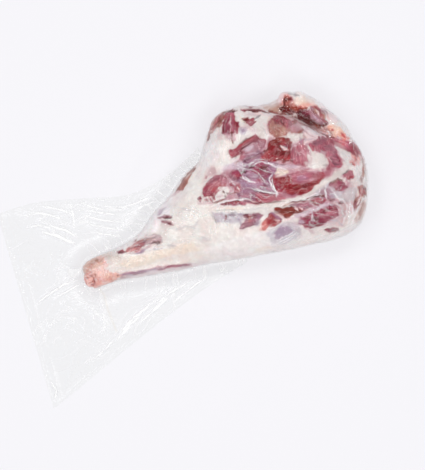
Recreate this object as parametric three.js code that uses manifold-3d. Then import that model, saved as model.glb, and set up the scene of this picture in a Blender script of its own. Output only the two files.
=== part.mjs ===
// A raw leg of lamb on the bone in a clear vacuum bag, lying on its side. Millimetres, +Z up.
//
// Everything is drawn in the leg's own plan: x runs from the cut end of the shank to the butt, y across the
// leg and z up from the table. The finished group is moved so that its origin is under the middle of its box.
// Three solids: the meat, the shank bone that shows at the cut, and the loose part of the bag. The rest of
// the bag clings to the meat as a film about a tenth of a millimetre thick, so it has no solid of its own.
import * as THREE from "three";
import { mergeVertices } from "three/addons/utils/BufferGeometryUtils.js";
import Module from "manifold-3d";

// Driving dimensions
const GAP = 0.3; // left between two solids that touch
const RIM_SHARE = 0.42; // height of the leg's widest line, as a share of its thickness
const TOP_ROUNDNESS = 2.45; // exponent of the section's upper half: 2 is an ellipse, more is boxier
const BASE_ROUNDNESS = 3.2; // and of its lower half, which the meat's own weight flattens
const RELIEF_FROM = 0.25; // share of the way up from the rim at which the upper face's forms begin
const RELIEF_FULL = 0.8; // and at which they have their whole height
const MESH_STEP = 6; // spacing of the leg's rings along it
const TOP_POINTS = 36; // points of a ring over the upper face
const BASE_POINTS = 10; // and round the underside
const CURVE_SAMPLES = 40; // steps to each row of a table when a curve's length is walked

// The leg's sections: place along it, near side, far side, underside and top. An underside below 0 is pressed
// flat by the table.
const LEG_SECTIONS = [
  [-2.5, -20, 2, 6, 26],
  [2, -26, 8.5, 0, 33],
  [12, -28, 11, -2, 36],
  [35, -31, 10, -2, 38],
  [62, -40, 9, 0, 41],
  [90, -49, 13, 0, 46],
  [120, -58, 29, -2, 53],
  [150, -65, 40, -4, 60],
  [178, -74, 55, -5, 67],
  [205, -83, 63, -6, 72],
  [226, -89, 84, -6, 76],
  [246, -95, 101, -7, 80],
  [268, -101, 106, -7, 84],
  [292, -107, 98, -7, 86],
  [316, -113, 83, -7, 86],
  [340, -116, 67, -7, 84],
  [362, -111, 40, -6, 79],
  [380, -95, 16, -4, 71],
  [394, -72, 5, 1, 59],
  [404, -49, -2, 10, 44],
  [408, -26, -14, 22, 31],
];

// Forms of the upper face: muscles and fat pads that swell, each with its length, width, turn in degrees and
// height. A negative height is a hollow.
const SWELLS = [
  { name: "topside", x: 312, y: -26, length: 84, width: 28, turn: 4, height: 4.5 },
  { name: "eye of the leg", x: 330, y: 6, length: 46, width: 34, turn: -20, height: 3 },
  { name: "rump", x: 332, y: 54, length: 50, width: 34, turn: -50, height: 5 },
  { name: "silverside", x: 266, y: 47, length: 50, width: 20, turn: 12, height: 2.6 },
  { name: "middle", x: 258, y: 6, length: 62, width: 34, turn: -18, height: 2.6 },
  { name: "heel", x: 206, y: 22, length: 44, width: 22, turn: 10, height: 3 },
  { name: "calf", x: 160, y: 4, length: 80, width: 48, turn: 8, height: 3.5 },
  { name: "knuckle", x: 320, y: -79, length: 78, width: 26, turn: 3, height: 4.5 },
  { name: "flank side", x: 262, y: -72, length: 46, width: 26, turn: -12, height: 3 },
  { name: "chump", x: 366, y: -50, length: 42, width: 18, turn: 0, height: 2.6 },
  { name: "fat pad", x: 228, y: 58, length: 46, width: 46, turn: 30, height: 3 },
  { name: "upper fat", x: 296, y: 66, length: 26, width: 44, turn: 10, height: 2.2 },
  { name: "white pad", x: 346, y: -10, length: 28, width: 30, turn: 0, height: 1.6 },
  { name: "shank muscle", x: 84, y: -2, length: 66, width: 15, turn: -6, height: 3.4 },
  { name: "shank flexor", x: 88, y: -41, length: 96, width: 12, turn: -17, height: 2.6 },
  { name: "heel tendon", x: 18, y: 4, length: 46, width: 12, turn: -2, height: 2.8 },
  { name: "pit", x: 311, y: 26, length: 32, width: 24, turn: -40, height: -7 },
  { name: "dark pocket", x: 286, y: -51, length: 48, width: 13, turn: -8, height: -2.6 },
  { name: "bared joint", x: -1, y: -13, length: 22, width: 23, turn: 0, height: -9 },
];

// Seams of the upper face: lines on the plan with their width and height. A negative height is a groove
// between two muscles, and a positive one a cord of fat.
const SEAMS = [
  { name: "main fat seam", width: 12, height: 3,
    line: [[196, -3], [225, -17], [252, -30], [282, -42], [310, -45], [342, -40], [372, -35], [392, -38]] },
  { name: "below the main fat seam", width: 9, height: -2.6,
    line: [[190, -13], [214, -26], [240, -41], [270, -54], [300, -60], [338, -57]] },
  { name: "over the middle", width: 9, height: -2.6,
    line: [[205, 36], [232, 34], [258, 30], [282, 20], [304, 8], [330, -6]] },
  { name: "under the heel", width: 8, height: -2.4,
    line: [[186, 14], [202, 2], [226, 0], [250, -14]] },
  { name: "above the silverside", width: 9, height: -2.2,
    line: [[244, 58], [262, 66], [284, 62], [298, 46]] },
  { name: "left of the rump", width: 9, height: -2.2,
    line: [[296, 88], [308, 68], [308, 50]] },
  { name: "edge of the calf", width: 10, height: -2.8,
    line: [[150, 32], [180, 41], [206, 54], [224, 72]] },
  { name: "ankle", width: 9, height: -2.4,
    line: [[118, 2], [126, 18], [140, 32]] },
  { name: "inner edge of the flexor", width: 9, height: -2,
    line: [[44, -22], [86, -32], [128, -45]] },
  { name: "butt edge", width: 9, height: -2.4,
    line: [[378, 0], [390, -22], [398, -44], [388, -68], [366, -96]] },
];

// The flap that hangs off the butt's far side: centre (x, y, z), half width and half height of its sections.
const FLAP_SECTIONS = [
  [294, 77, 28, 10, 18],
  [318, 76, 28, 14, 24],
  [338, 74, 29, 16, 25],
  [354, 71, 32, 20.5, 29],
  [369, 57, 31, 19, 27],
  [379, 39, 30, 17, 25],
  [387, 22, 32, 15.5, 27],
  [391.5, 5, 34, 14.5, 27],
  [390, -16, 32, 12, 22],
];
const FLAP_POINTS = 16;
const FLAP_RINGS = 22;
const FLAP_LOOK = 0.1; // part of a row to each side over which the flap's direction is taken

// Lumps of fat and cut gristle on the flap: centre and radius.
const LUMP_AROUND = 10;
const LUMP_RINGS = 7;
const LUMPS = [
  [349, 83, 45, 11.5],
  [364, 75, 49, 11.5],
  [381, 28, 49, 11],
  [389, 12, 52, 11.5],
  [394, -3, 50, 10],
  [393, -32, 45, 10.5],
];

// The shank bone: where its bared end stands, its turn on the plan in degrees, and its radius at places along
// it. The knob of the joint is at the bared end.
const BONE = { x: -6, y: -12, z: 17, turn: -6 };
const BONE_PROFILE = [
  [0, 0],
  [0.3, 5],
  [1.4, 8.6],
  [3.6, 10.2],
  [8, 10],
  [16, 8.6],
  [30, 7.6],
  [96, 7.2],
  [118, 8],
  [126, 0],
];
const BONE_SEGMENTS = 20;

// The bag: its two side edges, from the sealed end to where the meat fills it, and how the film lies.
const BAG_NEAR_EDGE = [
  [-125, -148],
  [-88, -140],
  [-48, -131],
  [6, -119],
  [74, -105],
  [135, -95],
  [172, -91],
  [204, -88],
];
const BAG_FAR_EDGE = [
  [-73, 125],
  [-42, 121],
  [-14, 114],
  [40, 92],
  [98, 68],
  [150, 66],
  [190, 74],
  [214, 82],
];
const BAG_THICKNESS = 2;
const BAG_CLIMB = 13; // how high the film stands where it meets the meat
const BAG_CLIMB_REACH = 17; // and how far out it takes to come down
const BAG_RIPPLE = 3; // height of the film's highest waves
const BAG_FLAT_RIM = 0.08; // share of the width over which the waves die out to the side edges
const BAG_WAVES = [
  { along: 0.085, across: 0.05, start: 0 }, // radians to a millimetre
  { along: 0.031, across: -0.11, start: 1.3 },
];
const BAG_ROWS = 34;
const BAG_COLUMNS = 22;

const wasm = await Module();
wasm.setup();

const toSolid = (geometry) => {
  const plain = new THREE.BufferGeometry().setAttribute("position", geometry.getAttribute("position"));
  if (geometry.index) plain.setIndex(geometry.index);
  const merged = mergeVertices(plain, 1e-4);
  return new wasm.Manifold(
    new wasm.Mesh({
      numProp: 3,
      vertProperties: new Float32Array(merged.getAttribute("position").array),
      triVerts: new Uint32Array(merged.index.array),
    }),
  );
};

const toGeometry = (solid) => {
  const mesh = solid.getMesh();
  const geometry = new THREE.BufferGeometry();
  geometry.setAttribute("position", new THREE.BufferAttribute(new Float32Array(mesh.vertProperties), 3));
  geometry.setIndex(new THREE.BufferAttribute(new Uint32Array(mesh.triVerts), 1));
  geometry.computeVertexNormals();
  return geometry;
};

// A smooth curve through the rows of a table, by row number.
const through = (rows) => {
  const places = rows.map((_, i) => i);
  const columns = rows[0].length;
  const curve = new THREE.CubicInterpolant(places, rows.flat(), columns, new Float32Array(columns));
  return (place) => Array.from(curve.evaluate(THREE.MathUtils.clamp(place, 0, rows.length - 1)));
};

// Places along a curve that lie step apart, by the longest way that any of its coordinates moves.
const evenPlaces = (curve, last, step) => {
  const fine = CURVE_SAMPLES * last;
  const walked = [0];
  for (let i = 1; i <= fine; i++) {
    const a = curve(((i - 1) * last) / fine);
    const b = curve((i * last) / fine);
    walked.push(walked[i - 1] + Math.max(...a.map((v, k) => Math.abs(b[k] - v))));
  }
  const count = Math.round(walked[fine] / step);
  const places = [];
  for (let n = 0, i = 0; n <= count; n++) {
    while (i < fine && walked[i] < (n * walked[fine]) / count) i++;
    places.push((i * last) / fine);
  }
  return places;
};

// A closed solid skin over rings of points, each end shut by a fan about its middle.
const loft = (rings) => {
  const around = rings[0].length;
  const points = rings.flat();
  const faces = [];
  for (let r = 0; r + 1 < rings.length; r++)
    for (let k = 0; k < around; k++) {
      const a = r * around + k;
      const b = r * around + ((k + 1) % around);
      faces.push(a, b, a + around, b, b + around, a + around);
    }
  for (const [ring, flip] of [[0, true], [rings.length - 1, false]]) {
    const middle = rings[ring].reduce((sum, p) => sum.add(p), new THREE.Vector3()).divideScalar(around);
    points.push(middle);
    for (let k = 0; k < around; k++) {
      const a = ring * around + k;
      const b = ring * around + ((k + 1) % around);
      faces.push(...(flip ? [b, a, points.length - 1] : [a, b, points.length - 1]));
    }
  }
  const geometry = new THREE.BufferGeometry().setFromPoints(points);
  geometry.setIndex(faces);
  return geometry;
};

const bell = (d) => Math.exp(-d * d);

const distanceToLine = (x, y, line) => {
  let best = Infinity;
  for (let i = 0; i + 1 < line.length; i++) {
    const [ax, ay] = line[i];
    const [bx, by] = line[i + 1];
    const share = ((x - ax) * (bx - ax) + (y - ay) * (by - ay)) / ((bx - ax) ** 2 + (by - ay) ** 2);
    const t = THREE.MathUtils.clamp(share, 0, 1);
    best = Math.min(best, Math.hypot(x - ax - t * (bx - ax), y - ay - t * (by - ay)));
  }
  return best;
};

// Height of the muscles, fat pads and seams over the leg's plain upper face.
const relief = (x, y) => {
  let height = 0;
  for (const form of SWELLS) {
    const turn = THREE.MathUtils.degToRad(form.turn);
    const along = (x - form.x) * Math.cos(turn) + (y - form.y) * Math.sin(turn);
    const across = -(x - form.x) * Math.sin(turn) + (y - form.y) * Math.cos(turn);
    const away = Math.hypot(along / (0.5 * form.length), across / (0.5 * form.width));
    height += form.height * bell(away ** 2);
  }
  for (const seam of SEAMS) {
    const away = distanceToLine(x, y, seam.line) / (0.5 * seam.width);
    height += seam.height * bell(away);
  }
  return height;
};

const power = (value, exponent) => Math.sign(value) * Math.abs(value) ** exponent;

// One section of the leg as a ring of points, grown across and upwards by grow.
const legRing = ([x, near, far, under, top], grow) => {
  const middle = (near + far) / 2;
  const half = (far - near) / 2 + grow;
  const rim = Math.max(under, 0) + RIM_SHARE * (top - Math.max(under, 0));
  const ring = [];
  for (let k = 0; k < TOP_POINTS; k++) {
    const angle = (Math.PI * k) / TOP_POINTS;
    const rise = power(Math.sin(angle), 2 / TOP_ROUNDNESS);
    const y = middle - half * power(Math.cos(angle), 2 / TOP_ROUNDNESS);
    const shaped = relief(x, y) * THREE.MathUtils.smoothstep(rise, RELIEF_FROM, RELIEF_FULL);
    ring.push(new THREE.Vector3(x, y, rim + (top + grow - rim) * rise + shaped));
  }
  for (let k = 0; k < BASE_POINTS; k++) {
    const angle = (Math.PI * k) / BASE_POINTS;
    const y = middle + half * power(Math.cos(angle), 2 / BASE_ROUNDNESS);
    const z = rim - (rim - under + grow) * power(Math.sin(angle), 2 / BASE_ROUNDNESS);
    ring.push(new THREE.Vector3(x, y, Math.max(z, -grow)));
  }
  return ring.reverse();
};

const legBody = (grow = 0) => {
  const curve = through(LEG_SECTIONS);
  const places = evenPlaces(curve, LEG_SECTIONS.length - 1, MESH_STEP);
  const rings = places.map((place) => legRing(curve(place), grow));
  rings[0].forEach((point) => (point.x -= grow));
  return toSolid(loft(rings));
};

const flapBody = () => {
  const curve = through(FLAP_SECTIONS);
  const last = FLAP_SECTIONS.length - 1;
  const rings = [];
  for (let i = 0; i <= FLAP_RINGS; i++) {
    const place = (i * last) / FLAP_RINGS;
    const [x, y, z, wide, tall] = curve(place);
    const [beforeX, beforeY] = curve(place - FLAP_LOOK);
    const [afterX, afterY] = curve(place + FLAP_LOOK);
    const ahead = new THREE.Vector2(afterX - beforeX, afterY - beforeY).normalize();
    const ring = [];
    for (let k = 0; k < FLAP_POINTS; k++) {
      const angle = (2 * Math.PI * k) / FLAP_POINTS;
      const out = wide * Math.cos(angle);
      const height = Math.max(z + tall * Math.sin(angle), 0);
      ring.push(new THREE.Vector3(x - ahead.y * out, y + ahead.x * out, height));
    }
    rings.push(ring);
  }
  return toSolid(loft(rings));
};

const lump = ([x, y, z, radius]) => {
  const ball = new THREE.SphereGeometry(radius, LUMP_AROUND, LUMP_RINGS);
  return toSolid(ball.translate(x, y, z));
};

// The bone's solid, grown outwards by grow, turned so that it lies along the shank.
const boneBody = (grow = 0) => {
  const profile = BONE_PROFILE.map(([along, radius], i) => {
    const shut = radius === 0;
    const move = i === 0 ? -grow : i === BONE_PROFILE.length - 1 ? grow : 0;
    return new THREE.Vector2(shut ? 0 : radius + grow, along + move);
  });
  const geometry = new THREE.LatheGeometry(profile, BONE_SEGMENTS);
  geometry.rotateZ(-Math.PI / 2);
  geometry.rotateZ(THREE.MathUtils.degToRad(BONE.turn));
  geometry.translate(BONE.x, BONE.y, BONE.z);
  return toSolid(geometry);
};

// A function that tells how far a point of the plan lies from the leg's widest line.
const distanceFromLeg = () => {
  const curve = through(LEG_SECTIONS);
  const rows = evenPlaces(curve, LEG_SECTIONS.length - 1, MESH_STEP).map(curve);
  const near = rows.map(([x, y]) => [x, y]);
  const far = rows.map(([x, , y]) => [x, y]);
  const line = [...near.reverse(), ...far];
  return (x, y) => distanceToLine(x, y, line);
};

// Height of the film's underside, at share of the way from the near edge to the far one.
const filmHeight = (x, y, share, away) => {
  const climb = BAG_CLIMB * bell(away(x, y) / BAG_CLIMB_REACH);
  const swings = BAG_WAVES.map((wave) => Math.sin(wave.along * x + wave.across * y + wave.start));
  const swing = swings.reduce((sum, value) => sum + value) / BAG_WAVES.length;
  const rim = THREE.MathUtils.smoothstep(Math.min(share, 1 - share), 0, BAG_FLAT_RIM);
  return climb + BAG_RIPPLE * (0.5 + 0.5 * swing) * rim;
};

// A closed slab over a grid of points given row by row, as thick as thickness.
const slab = (grid, rows, columns, thickness) => {
  const top = grid.map((point) => point.clone().setZ(point.z + thickness));
  const across = columns + 1;
  const under = top.length;
  const faces = [];
  for (let i = 0; i < rows; i++)
    for (let k = 0; k < columns; k++) {
      const a = i * across + k;
      const b = a + across;
      faces.push(a, b, a + 1, a + 1, b, b + 1);
      faces.push(under + a, under + a + 1, under + b, under + a + 1, under + b + 1, under + b);
    }
  const rim = [];
  for (let k = 0; k < columns; k++) rim.push(k);
  for (let i = 0; i < rows; i++) rim.push(i * across + columns);
  for (let k = columns; k > 0; k--) rim.push(rows * across + k);
  for (let i = rows; i > 0; i--) rim.push(i * across);
  rim.forEach((a, i) => {
    const b = rim[(i + 1) % rim.length];
    faces.push(a, b, under + a, b, under + b, under + a);
  });
  const geometry = new THREE.BufferGeometry().setFromPoints([...top, ...grid]);
  geometry.setIndex(faces);
  return geometry;
};

// The loose part of the bag: two films pressed together, which climb a little where they meet the meat.
const bagBody = () => {
  const near = through(BAG_NEAR_EDGE);
  const far = through(BAG_FAR_EDGE);
  const away = distanceFromLeg();
  const last = BAG_NEAR_EDGE.length - 1;
  const grid = [];
  for (let i = 0; i <= BAG_ROWS; i++) {
    const [nearX, nearY] = near((i * last) / BAG_ROWS);
    const [farX, farY] = far((i * last) / BAG_ROWS);
    for (let k = 0; k <= BAG_COLUMNS; k++) {
      const share = k / BAG_COLUMNS;
      const x = THREE.MathUtils.lerp(nearX, farX, share);
      const y = THREE.MathUtils.lerp(nearY, farY, share);
      grid.push(new THREE.Vector3(x, y, filmHeight(x, y, share, away)));
    }
  }
  return toSolid(slab(grid, BAG_ROWS, BAG_COLUMNS, BAG_THICKNESS));
};

const largest = (solid) => solid.decompose().reduce((a, b) => (b.volume() > a.volume() ? b : a));

const meat = LUMPS.map(lump).reduce((sum, piece) => sum.add(piece), legBody().add(flapBody()));
const solids = {
  leg: largest(meat.subtract(boneBody(GAP))),
  shank_bone: boneBody(),
  bag: largest(bagBody().subtract(legBody(GAP)).subtract(boneBody(GAP))),
};

const materials = {
  leg: new THREE.MeshStandardMaterial({ color: 0xb0616a, roughness: 0.45 }),
  shank_bone: new THREE.MeshStandardMaterial({ color: 0xe8a796, roughness: 0.5 }),
  bag: new THREE.MeshStandardMaterial({ color: 0xeef0f2, roughness: 0.2, opacity: 0.35, transparent: true }),
};

const leg = new THREE.Group();
for (const [name, solid] of Object.entries(solids)) {
  const mesh = new THREE.Mesh(toGeometry(solid), materials[name]);
  mesh.name = name;
  leg.add(mesh);
}
const box = new THREE.Box3().setFromObject(leg);
const centre = box.getCenter(new THREE.Vector3());
leg.position.set(-centre.x, -centre.y, -box.min.z);

export default leg;
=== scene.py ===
"""Looks of a raw leg of lamb on the bone in a clear vacuum bag.

Lengths are in metres unless they lie on the leg's plan. The plan is the one that the solids were drawn on, in
millimetres: x runs from the shank's cut end to the butt, y across the leg and z up from the table.
"""
import math

import bpy
import numpy as np
from mathutils import Matrix, Vector
from mathutils.bvhtree import BVHTree


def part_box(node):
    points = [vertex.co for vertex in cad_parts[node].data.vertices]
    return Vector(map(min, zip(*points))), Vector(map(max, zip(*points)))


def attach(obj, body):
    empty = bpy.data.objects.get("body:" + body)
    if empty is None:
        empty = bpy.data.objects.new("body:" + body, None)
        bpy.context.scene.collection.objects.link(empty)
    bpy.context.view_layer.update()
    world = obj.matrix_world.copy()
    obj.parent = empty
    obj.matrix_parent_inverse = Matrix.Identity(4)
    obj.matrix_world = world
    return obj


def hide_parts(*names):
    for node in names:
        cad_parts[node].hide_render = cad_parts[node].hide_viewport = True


MM = 0.001
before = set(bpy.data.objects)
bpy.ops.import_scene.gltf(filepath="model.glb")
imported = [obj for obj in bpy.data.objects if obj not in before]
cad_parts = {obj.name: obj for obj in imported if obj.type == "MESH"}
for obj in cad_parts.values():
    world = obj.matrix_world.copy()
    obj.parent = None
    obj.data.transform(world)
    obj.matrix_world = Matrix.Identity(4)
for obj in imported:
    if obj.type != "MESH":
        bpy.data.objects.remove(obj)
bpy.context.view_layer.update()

# Where the plan lies in the row frame: the bag's near corner at the sealed end is the low corner of its box
BAG_CORNER = (-125.0, -148.0)
bag_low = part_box("bag")[0]
PLAN_ORIGIN = np.array([bag_low[0] / MM - BAG_CORNER[0], bag_low[1] / MM - BAG_CORNER[1], 0.0])

# Light: the share that comes evenly from all round, then a ring of softboxes high up and long thin ones lower
# down. All the shares add up to what makes the floor, at its own tone, as bright as in the photograph.
WORLD_SHARE = 0.36
RING_COUNT = 5
RING_START = -50.0  # bearing of the first one, in degrees clockwise from the photograph's top
RING_HEIGHT = 60.0  # degrees up
RING_DISTANCE = 2.4
RING_SIZE = (0.9, 0.9)
RING_SHARE = 0.136
STRIP_SIZE = (1.0, 0.022)
STRIPS = [  # name, bearing, degrees up, distance and share
    ("strip_left", -105, 40, 1.5, 0.05),
    ("strip_top", 15, 44, 1.6, 0.05),
    ("strip_right", 125, 38, 1.6, 0.04),
]
AIM_HEIGHT = 0.03  # of the place on the leg that the softboxes face

# Floor
FLOOR_SIZE = 6.0
FLOOR_DROP = 0.0004  # below the part's underside
FLOOR_TONE = (247, 246, 250)
FLOOR_ALBEDO = 0.9  # of the tone, so that whites can be brighter than the floor
FLOOR_GLOW = 0.55  # share of the floor's light that comes through it from below, as on a lit table

# The photograph's view: straight down, with the leg turned 27 degrees in the frame
PHOTO_SIZE = (425, 470)
PHOTO_MM_PER_PIXEL = 1.35
LEG_TURN = math.radians(27.0)
# The photograph's right and top as directions on the table
PHOTO_RIGHT = Vector((math.cos(LEG_TURN), -math.sin(LEG_TURN), 0.0))
PHOTO_UP = Vector((math.sin(LEG_TURN), math.cos(LEG_TURN), 0.0))
VIEW_CENTRE = (177.2, -34.2)  # middle of the picture on the plan
VIEW_HEIGHT = 42.0  # height above the table at which the scale holds, in millimetres
CAMERA_DISTANCE = 2.6
SENSOR_HEIGHT = 36.0

# Mesh fineness, in millimetres, and the most triangles that a piece keeps
MEAT_VOXEL = 1.25
BONE_VOXEL = 0.7
FILM_VOXEL = 2.5
SKIRT_STEP = 1.15
PIECE_TRIANGLES = 196000
SOFTEN = 0.5  # how far each pass of smoothing moves a vertex to the middle of its neighbours
MEAT_PASSES = 22
BONE_PASSES = 8
FILM_PASSES = 6
FILM_LAST_PASSES = 3

# Colours as they look through the film, 0 to 255: the main tone and the tone that it drifts to
TONES = {
    "fat": ((239, 233, 229), (234, 222, 218)),
    "bright fat": ((240, 235, 232), (230, 221, 217)),
    "seam fat": ((230, 220, 216), (216, 204, 200)),
    "white": ((252, 248, 250), (246, 238, 242)),
    "pink fat": ((226, 196, 196), (216, 180, 182)),
    "blush fat": ((246, 222, 222), (238, 206, 208)),
    "shaded fat": ((222, 208, 202), (208, 190, 182)),
    "grey fat": ((206, 198, 201), (192, 182, 186)),
    "cream": ((242, 227, 212), (238, 218, 202)),
    "peach": ((238, 220, 206), (234, 212, 198)),
    "orange fat": ((242, 202, 180), (232, 174, 156)),
    "tan": ((218, 184, 168), (204, 164, 148)),
    "brown fat": ((186, 142, 126), (170, 122, 110)),
    "raw pink": ((246, 210, 200), (240, 188, 178)),
    "salmon": ((234, 154, 146), (222, 130, 124)),
    "salmon red": ((182, 90, 92), (170, 74, 82)),
    "pale lilac": ((220, 202, 212), (206, 184, 198)),
    "lilac": ((168, 142, 164), (152, 122, 150)),
    "grey lilac": ((198, 188, 198), (176, 162, 176)),
    "mauve": ((170, 126, 148), (156, 108, 134)),
    "mauve rose": ((168, 116, 130), (150, 96, 112)),
    "rose": ((200, 150, 162), (188, 132, 146)),
    "pink": ((186, 108, 124), (176, 92, 108)),
    "rose red": ((166, 78, 92), (152, 62, 78)),
    "magenta": ((158, 70, 92), (138, 52, 74)),
    "red": ((158, 54, 62), (144, 42, 50)),
    "bright red": ((186, 66, 72), (170, 52, 58)),
    "deep red": ((146, 48, 54), (124, 34, 40)),
    "rust": ((150, 64, 52), (126, 46, 38)),
    "brown red": ((172, 98, 84), (148, 74, 64)),
    "brown pink": ((178, 120, 112), (166, 102, 96)),
    "wine": ((112, 38, 52), (88, 30, 40)),
    "dark red": ((104, 34, 42), (88, 26, 34)),
    "dark brown": ((130, 50, 46), (104, 34, 32)),
    "dark grey": ((122, 98, 102), (104, 82, 86)),
    "dark": ((116, 20, 24), (92, 10, 14)),
}
VEIL = 0.021  # light that the film adds over the meat
MEAT_LIGHT = 1.06  # light that reaches the meat and comes back through the film
ALBEDO_RANGE = (0.002, 0.97)
TONE_DRIFT_SIZE = 11.0  # of the patches in which a tone drifts
# How far the cut muscle is sunk against the fat, in millimetres. What is listed here is wet and fibrous.
SUNK = {
    "salmon red": -0.5,
    "mauve": -0.2,
    "mauve rose": -0.2,
    "pink": -0.4,
    "rose red": -0.6,
    "magenta": -0.6,
    "red": -0.8,
    "bright red": -0.4,
    "deep red": -1.4,
    "rust": -1.0,
    "brown red": -0.5,
    "brown pink": -0.3,
    "wine": -1.6,
    "dark red": -1.2,
    "dark brown": -1.4,
    "dark": -2.4,
}
FAT_RISE = 0.25  # how far fat stands up that is painted on the upper face

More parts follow.
